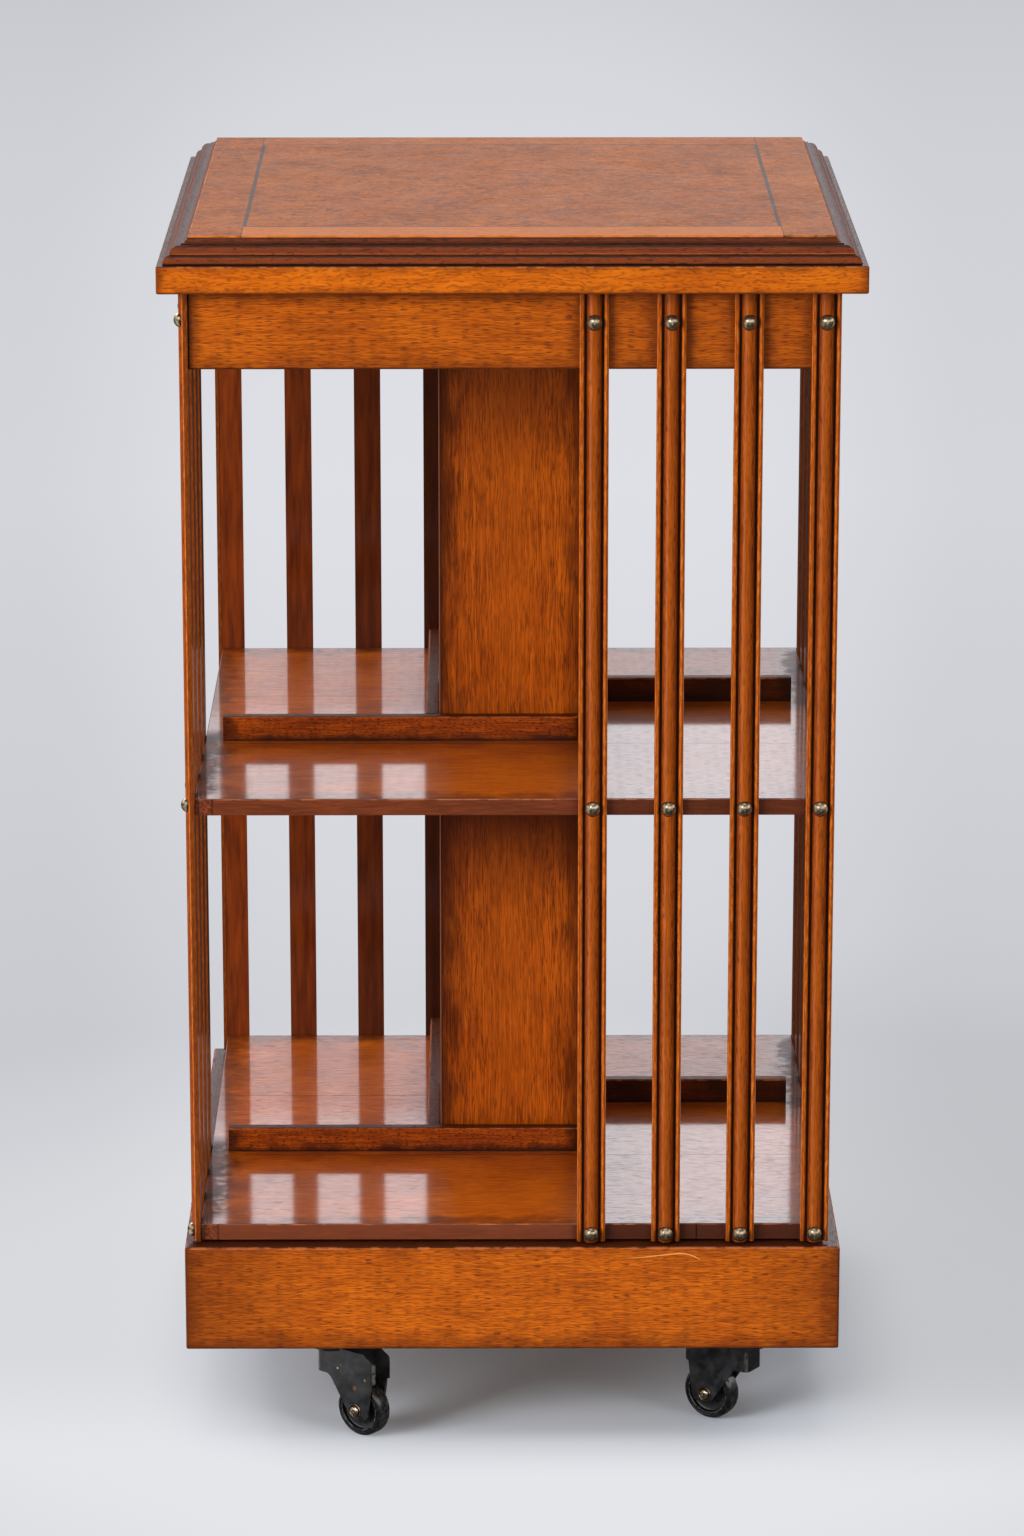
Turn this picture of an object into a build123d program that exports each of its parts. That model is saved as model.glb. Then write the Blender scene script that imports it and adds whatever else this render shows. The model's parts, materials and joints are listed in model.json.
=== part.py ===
from build123d import *
import os
from math import radians, sin, cos

# Revolving bookcase. Millimetres, +Z up, origin on the floor under the middle of the case.
# Each side of the turning case is the front side turned a quarter: front, right, back, left.

SIDES = ["front", "right", "back", "left"]

# Heights, stacked from the floor up
castor_height = 72.0
plinth_height = 76.0
turning_gap = 2.0
shelf_thickness = 12.0
lower_tier_height = 299.0
upper_tier_height = 357.0
frieze_height = 55.0
slab_thickness = 19.0
panel_thickness = 17.5

# Squares in plan
case_width = 440.0
slab_overhang = 20.0
plinth_ledge = 11.0
column_width = 104.0

# Board thicknesses and softened arrises
plinth_board = 18.0
frieze_board = 18.0
column_board = 12.0
deck_thickness = 18.0
arris = 1.4
fine_arris = 0.8
cutting_margin = 1.0

# Slats: a flat back, a bead along each edge and a reed up the middle
slat_count = 4
slat_width = 20.0
slat_body = 2.6
bead_width = 3.2
bead_rise = 1.6
reed_width = 10.0
reed_rise = 4.0
first_slat_offset = 55.5
last_slat_inset = 7.0

# Domed screws that hold the slats
stud_radius = 5.25
stud_rim = 0.8
stud_dome = 4.4
stud_seat_level = 4.6
stud_seat_clearance = 0.25
stud_shank_radius = 1.6
stud_grip = 9.5
stud_drop_in_frieze = 22.0

# Shelves of edge-joined boards inside a lipping
plank_count = 3
lipping_width = 12.0
lipping_joint_x = 130.0

# Book stops beside the column
stop_height = 18.0
stop_thickness = 9.5
stop_end_gap = 13.0

# Top: moulded frame round a banded panel
moulding_width = 21.0
moulding_ledge = 4.5
bead_run = 3.6
bead_height = 6.0
bead_bow = 1.3
ovolo_step = 0.7
ovolo_run = 6.6
ovolo_height = 5.5
ovolo_bow = 1.5
cove_step = 1.0
cove_height = 3.1
cove_bow = 0.9
crossband_width = 36.0
stringing_width = 2.0
veneer_depth = 1.5

# Spindle, its flange and the pivot under the top
spindle_radius = 11.0
spindle_shoulder_drop = 18.0
pivot_pin_radius = 6.0
pivot_pin_clearance = 3.0
running_clearance = 0.05
flange_radius = 45.0
flange_thickness = 5.0
flange_collar_radius = 18.0
flange_collar_length = 15.0
flange_screw_circle = 32.0
washer_thickness = 2.0
pivot_plate_width = 70.0
pivot_plate_thickness = 5.0
pivot_boss_radius = 15.0
pivot_screw_offset = 25.0
bush_wall = 4.0
bush_flange_overhang = 6.0
bush_flange_thickness = 3.0
middle_hole_clearance = 5.0

# Countersunk wood screws
screw_radius = 2.0
screw_head_radius = 3.8
screw_head_height = 1.8
screw_length = 16.0

# Bearers and blocks inside the base
bearer_width = 60.0
bearer_thickness = 22.0
block_width = 30.0

# Castors. Trail is how far the axle lies behind the kingpin.
castor_trail = 28.0
castor_front_inset = 39.0
castor_inset_near = 64.0
castor_inset_far = 103.0
wheel_radius = 20.0
wheel_width = 13.0
wheel_edge_round = 3.0
wheel_rim_radius = 15.6
wheel_web_width = 6.0
wheel_hub_radius = 6.4
hub_end_clearance = 0.3
cheek_side_clearance = 1.4
hood_clearance = 3.0
fork_sheet = 2.0
hood_tail = 46.0
hood_bevel_run = 10.5
hood_bevel_drop = 6.5
hood_corner = 4.0
skirt_lead_corner = 3.0
skirt_tail_corner = 2.2
cheek_lead_step = 12.0
cheek_tail_step = 4.0
cheek_lead_blend = 7.0
cheek_tail_blend = 1.5
cheek_hub_radius = 7.0
cheek_heel_offset = 4.0
swivel_disc_radius = 17.0
castor_plate_length = 60.0
castor_plate_width = 46.0
castor_plate_thickness = 2.0
castor_screw_x = 22.0
castor_screw_y = 15.0
race_radius = 12.0
race_height = 6.0
kingpin_radius = 4.0
kingpin_head_radius = 5.2
kingpin_head_thickness = 2.2
kingpin_head_clearance = 0.6
kingpin_play = 0.2
axle_radius = 2.5
axle_washer_radius = 4.6
axle_washer_thickness = 0.9
axle_dome_radius = 2.8
axle_dome_height = 1.6

# Levels that follow from the stack
plinth_top = castor_height + plinth_height
case_bottom = plinth_top + turning_gap
lower_shelf_top = case_bottom + shelf_thickness
middle_shelf_bottom = lower_shelf_top + lower_tier_height
middle_shelf_top = middle_shelf_bottom + shelf_thickness
slab_bottom = middle_shelf_top + upper_tier_height
slab_top = slab_bottom + slab_thickness
frieze_bottom = slab_bottom - frieze_height
panel_top = slab_top + panel_thickness
deck_bottom = plinth_top - deck_thickness
spindle_shoulder = slab_bottom - spindle_shoulder_drop
flange_bottom = deck_bottom - flange_thickness
spindle_bottom = flange_bottom - flange_collar_length

hood_lead = kingpin_head_radius + kingpin_head_clearance + fork_sheet
slab_width = case_width + 2 * slab_overhang
plinth_width = case_width + 2 * plinth_ledge
case_half = case_width / 2
column_half = column_width / 2
plinth_half = plinth_width / 2
plinth_inner_half = plinth_half - plinth_board
panel_width = slab_width - 2 * moulding_width
last_slat_offset = case_half - last_slat_inset
slat_pitch = (last_slat_offset - first_slat_offset) / (slat_count - 1)
stud_levels = {
    "frieze": slab_bottom - stud_drop_in_frieze,
    "middle": middle_shelf_top - shelf_thickness / 2,
    "lower": lower_shelf_top - shelf_thickness / 2,
}

os.makedirs("parts", exist_ok=True)


def save(name, *pieces):
    """Write one node: a single solid, or a group of separate solids."""
    shape = pieces[0] if len(pieces) == 1 else Compound(children=list(pieces))
    export_step(shape, "parts/" + name + ".step")


def span_box(low, high):
    """A box between two opposite corners."""
    size = [b - a for a, b in zip(low, high)]
    middle = [(a + b) / 2 for a, b in zip(low, high)]
    return Pos(*middle) * Box(*size)


def square_slab(width, bottom, top):
    """A square board centred on the axis."""
    return span_box((-width / 2, -width / 2, bottom), (width / 2, width / 2, top))


def upright(radius, bottom, top):
    """A round bar along Z between two levels."""
    return Pos(0, 0, (bottom + top) / 2) * Cylinder(radius, top - bottom)


def turned(shape, quarters):
    """The front side's piece carried round to another side."""
    return Rot(0, 0, 90 * quarters) * shape


def mitre_wedge(reach, bottom, top):
    """The quarter of the plan that belongs to the front side."""
    outline = Polyline((0, 0), (reach, -reach), (-reach, -reach), close=True)
    return Pos(0, 0, bottom) * extrude(make_face(outline), amount=top - bottom, dir=(0, 0, 1))


def mitred_front(ring, reach, bottom, top):
    """The front length of a square frame, cut by its two mitres."""
    return ring & mitre_wedge(reach, bottom - cutting_margin, top + cutting_margin)


def softened_square(width, bottom, top, radius):
    """A square board with every outer arris eased."""
    board = square_slab(width, bottom, top)
    return fillet(board.edges(), radius)


def countersunk_screw():
    """A wood screw with its flat head down at z = 0 and its shank up."""
    head = Cone(screw_head_radius, screw_radius, screw_head_height)
    shank = Cylinder(screw_radius, screw_length)
    return Pos(0, 0, screw_head_height / 2) * head + Pos(0, 0, screw_length / 2) * shank


def stud_solid():
    """A domed screw along +Z with the underside of its head at z = 0."""
    dome_radius = (stud_radius ** 2 + stud_dome ** 2) / (2 * stud_dome)
    dome_centre = stud_rim + stud_dome - dome_radius
    shoulder = stud_radius / 2
    shoulder_level = dome_centre + (dome_radius ** 2 - shoulder ** 2) ** 0.5
    shank = stud_seat_level + stud_grip
    side = Polyline(
        (0, -shank),
        (stud_shank_radius, -shank),
        (stud_shank_radius, 0),
        (stud_radius, 0),
        (stud_radius, stud_rim),
    )
    dome = ThreePointArc((stud_radius, stud_rim), (shoulder, shoulder_level), (0, stud_rim + stud_dome))
    axis_line = Line((0, stud_rim + stud_dome), (0, -shank))
    section = Plane.XZ * make_face(side + dome + axis_line)
    return revolve(section, Axis.Z)


def on_front(x, z, level, piece):
    """Stand a piece that points along +Z out of the front face, at a height above that face."""
    return Pos(x, -case_half - level, z) * Rot(90, 0, 0) * piece


def slat_offsets():
    """Distances of the slats' centre lines from the axis."""
    return [first_slat_offset + slat_pitch * i for i in range(slat_count)]


def shank_hole(x, z):
    """The hole for one screw, through the slat and into the wood behind it."""
    length = stud_seat_level + stud_grip
    drill = Pos(0, 0, -length / 2) * Cylinder(stud_shank_radius, length)
    return on_front(x, z, stud_seat_level, drill)


def side_holes(z):
    """Every screw hole at one level, on all four sides."""
    return [turned(shank_hole(x, z), k) for k in range(4) for x in slat_offsets()]


def slat_section():
    """The slat's cross-section, with y = 0 on its flat back and the face towards -y."""
    half = slat_width / 2
    reed = reed_width / 2
    bead = bead_width / 2
    back = Polyline((-half, -slat_body), (-half, 0), (half, 0), (half, -slat_body))
    right_bead = ThreePointArc(
        (half, -slat_body), (half - bead, -slat_body - bead_rise), (half - bead_width, -slat_body)
    )
    right_quirk = Line((half - bead_width, -slat_body), (reed, -slat_body))
    middle_reed = ThreePointArc((reed, -slat_body), (0, -slat_body - reed_rise), (-reed, -slat_body))
    left_quirk = Line((-reed, -slat_body), (bead_width - half, -slat_body))
    left_bead = ThreePointArc(
        (bead_width - half, -slat_body), (bead - half, -slat_body - bead_rise), (-half, -slat_body)
    )
    return make_face(back + right_bead + right_quirk + middle_reed + left_quirk + left_bead)


def slat_solid():
    """One slat on the front, centred on x = 0, bored and spot-faced for its three screws."""
    length = slab_bottom - case_bottom
    slat = Pos(0, -case_half, case_bottom) * extrude(slat_section(), amount=length, dir=(0, 0, 1))
    seat_depth = slat_body + reed_rise
    seat_cut = Cylinder(stud_radius + stud_seat_clearance, seat_depth)
    for z in stud_levels.values():
        slat -= shank_hole(0, z)
        slat -= on_front(0, z, stud_seat_level + seat_depth / 2, seat_cut)
    return slat


def bowed_arc(start, end, bow):
    """An arc whose middle stands off its chord, to the left of the way from start to end."""
    run = end[0] - start[0]
    rise = end[1] - start[1]
    chord = (run ** 2 + rise ** 2) ** 0.5
    middle = ((start[0] + end[0]) / 2 - bow * rise / chord, (start[1] + end[1]) / 2 + bow * run / chord)
    return ThreePointArc(start, middle, end)


def moulding_section():
    """The top moulding's cross-section: x inwards from the slab's edge, y up from the slab's top."""
    bead_end = (moulding_ledge + bead_run, bead_height)
    ovolo_start = (bead_end[0] + ovolo_step, bead_end[1] + ovolo_step)
    ovolo_end = (ovolo_start[0] + ovolo_run, ovolo_start[1] + ovolo_height)
    cove_start = (ovolo_end[0] + cove_step, ovolo_end[1] + cove_step)
    cove_end = (moulding_width, cove_start[1] + cove_height)
    foot = Line((moulding_width, 0), (moulding_ledge, 0))
    bead = bowed_arc((moulding_ledge, 0), bead_end, bead_bow)
    first_quirk = Polyline(bead_end, (ovolo_start[0], bead_end[1]), ovolo_start)
    ovolo = bowed_arc(ovolo_start, ovolo_end, ovolo_bow)
    second_quirk = Polyline(ovolo_end, (cove_start[0], ovolo_end[1]), cove_start)
    cove = bowed_arc(cove_start, cove_end, -cove_bow)
    back = Line(cove_end, (moulding_width, 0))
    return make_face(foot + bead + first_quirk + ovolo + second_quirk + cove + back)


def moulding_front():
    """The front length of the top moulding with its mitred ends."""
    section = Plane(origin=(-slab_width / 2, -slab_width / 2, slab_top), x_dir=(0, 1, 0), z_dir=(1, 0, 0))
    strip = extrude(section * moulding_section(), amount=slab_width, dir=(1, 0, 0))
    return mitred_front(strip, slab_width, slab_top, panel_top)


def inlay_front(outer, inner):
    """The front strip of a square inlay between two squares, let into the panel's face."""
    low = panel_top - veneer_depth
    ring = square_slab(outer, low, panel_top) - square_slab(inner, low, panel_top)
    return mitred_front(ring, slab_width, low, panel_top)


def box_frame_front(width, board, bottom, top, radius):
    """The front board of a square mitred box, with eased outer arrises."""
    ring = softened_square(width, bottom, top, radius) - square_slab(width - 2 * board, bottom, top)
    return mitred_front(ring, width, bottom, top)


def shelf_planks(bottom, hole_radius):
    """The edge-joined boards of one shelf, grain from left to right, bored for the spindle."""
    top = bottom + shelf_thickness
    reach = case_half - lipping_width
    plank = 2 * reach / plank_count
    bore = upright(hole_radius, bottom, top)
    planks = []
    for i in range(plank_count):
        low = (-reach, -reach + plank * i, bottom)
        high = (reach, -reach + plank * (i + 1), top)
        planks.append(span_box(low, high) - bore)
    return planks


def shelf_lipping(bottom, joint_in_front):
    """The lipping round one shelf: full-depth sides with the front and back strips between."""
    top = bottom + shelf_thickness
    reach = case_half - lipping_width
    blank = softened_square(case_width, bottom, top, fine_arris)
    front_ends = [(-reach, reach)]
    if joint_in_front:
        front_ends = [(-reach, lipping_joint_x), (lipping_joint_x, reach)]
    spans = [((a, -case_half, bottom), (b, -reach, top)) for a, b in front_ends]
    spans.append(((-reach, reach, bottom), (reach, case_half, top)))
    spans.append(((-case_half, -case_half, bottom), (-reach, case_half, top)))
    spans.append(((reach, -case_half, bottom), (case_half, case_half, top)))
    holes = side_holes(bottom + shelf_thickness / 2)
    return [(blank & span_box(low, high)) - holes for low, high in spans]


def book_stop(shelf_top):
    """The stop in front of the column, which reaches towards the left side."""
    low = (stop_end_gap - case_half, -column_half - stop_thickness, shelf_top)
    high = (column_half, -column_half, shelf_top + stop_height)
    stop = span_box(low, high)
    return fillet(stop.edges().group_by(Axis.Z)[-1].filter_by(Axis.X), arris)


def castor_plate():
    """A castor's fixed plate with its race and the kingpin riveted under it."""
    race_top = castor_height - castor_plate_thickness
    crown_top = race_top - race_height
    head_top = crown_top - fork_sheet - kingpin_play
    corner = (castor_plate_length / 2, castor_plate_width / 2)
    plate = span_box((-corner[0], -corner[1], race_top), (corner[0], corner[1], castor_height))
    plate = fillet(plate.edges().filter_by(Axis.Z), screw_head_radius)
    race = upright(race_radius, crown_top, race_top)
    pin = upright(kingpin_radius, head_top, crown_top)
    head = upright(kingpin_head_radius, head_top - kingpin_head_thickness, head_top)
    return plate + race + pin + head - castor_screws()


def castor_screws():
    """The four screws of one castor plate."""
    level = castor_height - castor_plate_thickness
    signs = [(-1, -1), (1, -1), (-1, 1), (1, 1)]
    return [Pos(a * castor_screw_x, b * castor_screw_y, level) * countersunk_screw() for a, b in signs]


def cheek_inner():
    """Half the gap between a fork's cheeks."""
    return wheel_width / 2 + cheek_side_clearance


def cheek_outline(skirt_bottom, crown_top):
    """Side view of the fork: a skirt with a bevelled tail, drawn down to a round end at the axle."""
    hub = Pos(castor_trail, wheel_radius) * Circle(cheek_hub_radius)
    heel = Pos(castor_trail + cheek_heel_offset, wheel_radius) * Circle(cheek_hub_radius)
    leg_ends = ((cheek_lead_step - hood_lead, skirt_bottom), (hood_tail - cheek_tail_step, skirt_bottom))
    leg = make_hull(hub.edges() + heel.edges() + Line(*leg_ends).edges())
    skirt = Polyline(
        (-hood_lead, skirt_bottom),
        (-hood_lead, crown_top),
        (hood_tail - hood_bevel_run, crown_top),
        (hood_tail, crown_top - hood_bevel_drop),
        (hood_tail, skirt_bottom),
        close=True,
    )
    outline = leg + make_face(skirt)
    bends = [
        ((-hood_lead, skirt_bottom), skirt_lead_corner),
        (leg_ends[0], cheek_lead_blend),
        (leg_ends[1], cheek_tail_blend),
        ((hood_tail, skirt_bottom), skirt_tail_corner),
    ]
    for (x, y), radius in bends:
        corner = outline.vertices().sort_by_distance((x, y, 0))[0]
        outline = fillet(corner, radius)
    return outline


def castor_fork():
    """A pressed fork: a hood over the wheel, open and bevelled behind, with a cheek down each side."""
    crown_top = castor_height - castor_plate_thickness - race_height
    crown_bottom = crown_top - fork_sheet
    skirt_bottom = 2 * wheel_radius + hood_clearance
    inner = cheek_inner()
    outer = inner + fork_sheet
    side = Plane.XZ * cheek_outline(skirt_bottom, crown_top)
    cheek = extrude(side, amount=fork_sheet, dir=(0, 1, 0))
    near = Pos(0, -outer, 0) * cheek
    far = Pos(0, inner, 0) * cheek
    crown = span_box((-hood_lead, -outer, crown_bottom), (hood_tail - hood_bevel_run, outer, crown_top))
    lead_wall = span_box((-hood_lead, -outer, skirt_bottom), (fork_sheet - hood_lead, outer, crown_top))
    plan = Pos((hood_tail - hood_lead) / 2, 0) * RectangleRounded(
        hood_tail + hood_lead, 2 * outer, hood_corner
    )
    hood = (near + far + crown + lead_wall) & extrude(plan, amount=crown_top, dir=(0, 0, 1))
    fork = hood + upright(swivel_disc_radius, crown_bottom, crown_top)
    fork -= upright(kingpin_radius + running_clearance, crown_bottom, crown_top)
    return fork - axle_bore()


def axle_bore():
    """The hole through both cheeks for the axle."""
    reach = cheek_inner() + fork_sheet
    return Pos(castor_trail, 0, wheel_radius) * Rot(90, 0, 0) * Cylinder(axle_radius, 2 * reach)


def castor_axle():
    """The riveted axle: a pin with a washer and a dome at each end."""
    reach = cheek_inner() + fork_sheet
    washer = Cylinder(axle_washer_radius, axle_washer_thickness)
    dome_radius = (axle_dome_radius ** 2 + axle_dome_height ** 2) / (2 * axle_dome_height)
    dome_sink = dome_radius - axle_dome_height
    cap = Sphere(dome_radius) & Pos(0, 0, dome_sink + dome_radius) * Box(
        4 * dome_radius, 4 * dome_radius, 2 * dome_radius
    )
    end = Pos(0, 0, reach + axle_washer_thickness / 2) * washer
    end += Pos(0, 0, reach + axle_washer_thickness - dome_sink) * cap
    pin = Cylinder(axle_radius, 2 * reach) + end + Rot(180, 0, 0) * end
    return Pos(castor_trail, 0, wheel_radius) * Rot(90, 0, 0) * pin


def castor_wheel():
    """A wheel with a rounded tyre, dished faces and a hub that fills the fork."""
    bore = axle_radius + running_clearance
    hub = cheek_inner() - hub_end_clearance
    web = wheel_web_width / 2
    half = wheel_width / 2
    bend = wheel_edge_round * (1 - cos(radians(45)))
    upper = Polyline(
        (bore, 0),
        (bore, hub),
        (wheel_hub_radius, hub),
        (wheel_hub_radius, web),
        (wheel_rim_radius, web),
        (wheel_rim_radius, half),
        (wheel_radius - wheel_edge_round, half),
    )
    shoulder = ThreePointArc(
        (wheel_radius - wheel_edge_round, half),
        (wheel_radius - bend, half - bend),
        (wheel_radius, half - wheel_edge_round),
    )
    tread = Line((wheel_radius, half - wheel_edge_round), (wheel_radius, 0))
    middle = Line((wheel_radius, 0), (bore, 0))
    half_section = make_face(upper + shoulder + tread + middle)
    section = Plane.XZ * (half_section + mirror(half_section, Plane.XZ))
    wheel = revolve(section, Axis.Z)
    return Pos(castor_trail, 0, wheel_radius) * Rot(90, 0, 0) * wheel


# Slats and the screws that hold them
front_slat = slat_solid()
for k, side in enumerate(SIDES):
    for i, x in enumerate(slat_offsets()):
        save("slat_" + side + "_" + str(i + 1), turned(Pos(x, 0, 0) * front_slat, k))
stud = stud_solid()
studs = []
for z in stud_levels.values():
    for k in range(4):
        studs += [turned(on_front(x, z, stud_seat_level, stud), k) for x in slat_offsets()]
save("slat_screws", *studs)

# Frieze boards under the slab
frieze_front = box_frame_front(case_width, frieze_board, frieze_bottom, slab_bottom, fine_arris)
for k, side in enumerate(SIDES):
    save("frieze_" + side, turned(frieze_front, k) - side_holes(stud_levels["frieze"]))

# Shelves, lippings and book stops
bush_radius = spindle_radius + running_clearance + bush_wall
middle_planks = shelf_planks(middle_shelf_bottom, spindle_radius + middle_hole_clearance)
lower_planks = shelf_planks(case_bottom, bush_radius)
save("middle_shelf", *middle_planks)
save("lower_shelf", *lower_planks)
save("shelf_lipping", *shelf_lipping(middle_shelf_bottom, False), *shelf_lipping(case_bottom, True))
save("book_stops_upper", *[turned(book_stop(middle_shelf_top), k) for k in range(4)])
save("book_stops_lower", *[turned(book_stop(lower_shelf_top), k) for k in range(4)])

# Column boards in each tier
upper_board = box_frame_front(column_width, column_board, middle_shelf_top, slab_bottom, fine_arris)
lower_board = box_frame_front(column_width, column_board, lower_shelf_top, middle_shelf_bottom, fine_arris)
save("upper_column", *[turned(upper_board, k) for k in range(4)])
save("lower_column", *[turned(lower_board, k) for k in range(4)])

# Top board, moulding, panel and its inlays
pivot_signs = [(-1, -1), (1, -1), (-1, 1), (1, 1)]
pivot_plate_bottom = slab_bottom - pivot_plate_thickness
pivot_screws = [
    Pos(a * pivot_screw_offset, b * pivot_screw_offset, pivot_plate_bottom) * countersunk_screw()
    for a, b in pivot_signs
]
save("top_board", softened_square(slab_width, slab_bottom, slab_top, arris) - pivot_screws)
save("top_moulding", *[turned(moulding_front(), k) for k in range(4)])
field_width = panel_width - 2 * (crossband_width + stringing_width)
inlay_bed = panel_top - veneer_depth
panel_ground = square_slab(panel_width, slab_top, inlay_bed)
save("top_panel", panel_ground + square_slab(field_width, inlay_bed, panel_top))
banding = inlay_front(panel_width, panel_width - 2 * crossband_width)
outer_arris = banding.edges().group_by(Axis.Z)[-1].group_by(Axis.Y)[0]
save("top_crossbanding", *[turned(fillet(outer_arris, fine_arris), k) for k in range(4)])
stringing = inlay_front(panel_width - 2 * crossband_width, field_width)
save("top_stringing", *[turned(stringing, k) for k in range(4)])

# Pivot under the top, bush in the lower shelf
pivot_boss_bottom = spindle_shoulder + washer_thickness
pivot_plate = square_slab(pivot_plate_width, pivot_plate_bottom, slab_bottom)
pivot_plate += upright(pivot_boss_radius, pivot_boss_bottom, pivot_plate_bottom)
pivot_plate -= upright(pivot_pin_radius + running_clearance, pivot_boss_bottom, slab_bottom)
save("pivot_plate", pivot_plate - pivot_screws)
save("pivot_screws", *pivot_screws)
bush = upright(bush_radius, case_bottom, lower_shelf_top)
bush += upright(bush_radius + bush_flange_overhang, lower_shelf_top, lower_shelf_top + bush_flange_thickness)
bush -= upright(spindle_radius + running_clearance, case_bottom, lower_shelf_top + bush_flange_thickness)
save("lower_bush", bush)

# Base box, deck, bearers and corner blocks
plinth_front = box_frame_front(plinth_width, plinth_board, castor_height, plinth_top, arris)
for k, side in enumerate(SIDES):
    save("plinth_" + side, turned(plinth_front, k))
flange_screws = [
    Pos(a * flange_screw_circle * sin(radians(45)), b * flange_screw_circle * cos(radians(45)), flange_bottom)
    * countersunk_screw()
    for a, b in pivot_signs
]
deck = square_slab(2 * plinth_inner_half, deck_bottom, plinth_top)
save("base_deck", deck - upright(spindle_radius, deck_bottom, plinth_top) - flange_screws)

kingpin_y = plinth_half - castor_front_inset
near_x = plinth_half - castor_inset_near
far_x = plinth_half - castor_inset_far
# Each castor: kingpin x and y, and the heading of its trail in degrees from +X
castors = {
    "front_left": (-far_x, -kingpin_y, -38.0),
    "front_right": (near_x, -kingpin_y, 146.0),
    "rear_right": (far_x, kingpin_y, 152.0),
    "rear_left": (-near_x, kingpin_y, 15.0),
}
castor_screw_sets = [Pos(x, y, 0) * screw for x, y, _ in castors.values() for screw in castor_screws()]
bearer_top = castor_height + bearer_thickness
front_bearer = span_box(
    (-plinth_inner_half, -plinth_inner_half, castor_height),
    (plinth_inner_half, bearer_width - plinth_inner_half, bearer_top),
)
save("castor_bearers", *[turned(front_bearer, k) - castor_screw_sets for k in (0, 2)])
corner_block = span_box(
    (-plinth_inner_half, -plinth_inner_half, bearer_top),
    (block_width - plinth_inner_half, block_width - plinth_inner_half, deck_bottom),
)
save("corner_blocks", *[turned(corner_block, k) for k in range(4)])

# Spindle, flange, thrust washer and screws of the base
flange = upright(flange_radius, flange_bottom, deck_bottom)
flange += upright(flange_collar_radius, spindle_bottom, flange_bottom)
flange -= upright(spindle_radius, spindle_bottom, deck_bottom)
save("spindle_flange", flange - flange_screws)
spindle = upright(spindle_radius, spindle_bottom, spindle_shoulder)
spindle += upright(pivot_pin_radius, spindle_shoulder, slab_bottom - pivot_pin_clearance)
save("spindle", spindle)
washer = upright(pivot_boss_radius, spindle_shoulder, pivot_boss_bottom)
washer -= upright(pivot_pin_radius + running_clearance, spindle_shoulder, pivot_boss_bottom)
save("thrust_washer", washer)
save("base_screws", *flange_screws, *castor_screw_sets)

# Castors
save("castor_plates", *[Pos(x, y, 0) * castor_plate() for x, y, _ in castors.values()])
fork = castor_fork()
axle = castor_axle()
wheel = castor_wheel()
for name, (x, y, heading) in castors.items():
    place = Pos(x, y, 0) * Rot(0, 0, heading)
    save("castor_fork_" + name, place * fork)
    save("castor_axle_" + name, place * axle)
    save("castor_wheel_" + name, place * wheel)
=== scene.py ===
"""Finishes, castor fittings, studio and camera for a two-tier revolving bookcase."""

import json
import logging
import math
from dataclasses import dataclass, replace
from enum import Enum
from typing import Callable, Sequence, Union

import bmesh
import bpy
from mathutils import Matrix, Vector


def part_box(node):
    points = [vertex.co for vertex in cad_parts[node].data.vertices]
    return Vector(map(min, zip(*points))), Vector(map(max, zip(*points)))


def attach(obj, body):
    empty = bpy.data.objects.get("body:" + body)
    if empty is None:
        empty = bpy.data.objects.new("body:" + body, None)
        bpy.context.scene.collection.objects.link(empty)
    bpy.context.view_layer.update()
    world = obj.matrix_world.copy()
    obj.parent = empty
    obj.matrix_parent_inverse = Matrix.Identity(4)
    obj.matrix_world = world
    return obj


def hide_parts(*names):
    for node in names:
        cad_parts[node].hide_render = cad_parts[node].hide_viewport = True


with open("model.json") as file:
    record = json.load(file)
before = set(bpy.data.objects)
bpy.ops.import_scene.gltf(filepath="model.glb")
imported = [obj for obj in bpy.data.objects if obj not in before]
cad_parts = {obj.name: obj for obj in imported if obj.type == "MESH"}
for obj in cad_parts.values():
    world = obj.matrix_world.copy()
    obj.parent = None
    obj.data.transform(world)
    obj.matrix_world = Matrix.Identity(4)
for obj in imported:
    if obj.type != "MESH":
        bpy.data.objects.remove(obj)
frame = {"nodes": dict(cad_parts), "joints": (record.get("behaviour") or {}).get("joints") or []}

LOG = logging.getLogger("bookcase")
MM = 1000.0
SLATS_PER_SIDE = 4
BOARDS_PER_SHELF = 3
WHITE = (1.0, 1.0, 1.0)

Triple = tuple[float, float, float]
Rgb = Triple
Stops = Sequence[tuple[float, Rgb]]
Size = Union[float, Triple]
Term = Union["Sock", float, Sequence[float]]


class Side(Enum):
    """A side of the bookcase."""

    FRONT = "front"
    RIGHT = "right"
    BACK = "back"
    LEFT = "left"


class Tier(Enum):
    """A tier of book compartments."""

    UPPER = "upper"
    LOWER = "lower"


class Veneer(Enum):
    """A figured veneer of the top, by its node."""

    FIELD = "top_panel"
    BANDING = "top_crossbanding"


def paint(red: int, green: int, blue: int) -> Rgb:
    """Turn a display colour, from 0 to 255 in each part, into a linear one."""
    values = [part / 255 for part in (red, green, blue)]
    return tuple(v / 12.92 if v <= 0.04045 else ((v + 0.055) / 1.055) ** 2.4 for v in values)


def joined(operation: str, swapped: bool = False) -> Callable[..., "Sock"]:
    """Make a method that adds a node behind a Sock and another term.

    Args:
        operation: The node's operation.
        swapped: Whether the other term comes first, as in the reflected forms.

    Returns:
        The method.
    """
    def method(self: "Sock", other: Term = 0.0) -> "Sock":
        """Add the node."""
        first, second = (other, self) if swapped else (self, other)
        return self.graph.combine(operation, first, second)

    return method


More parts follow.
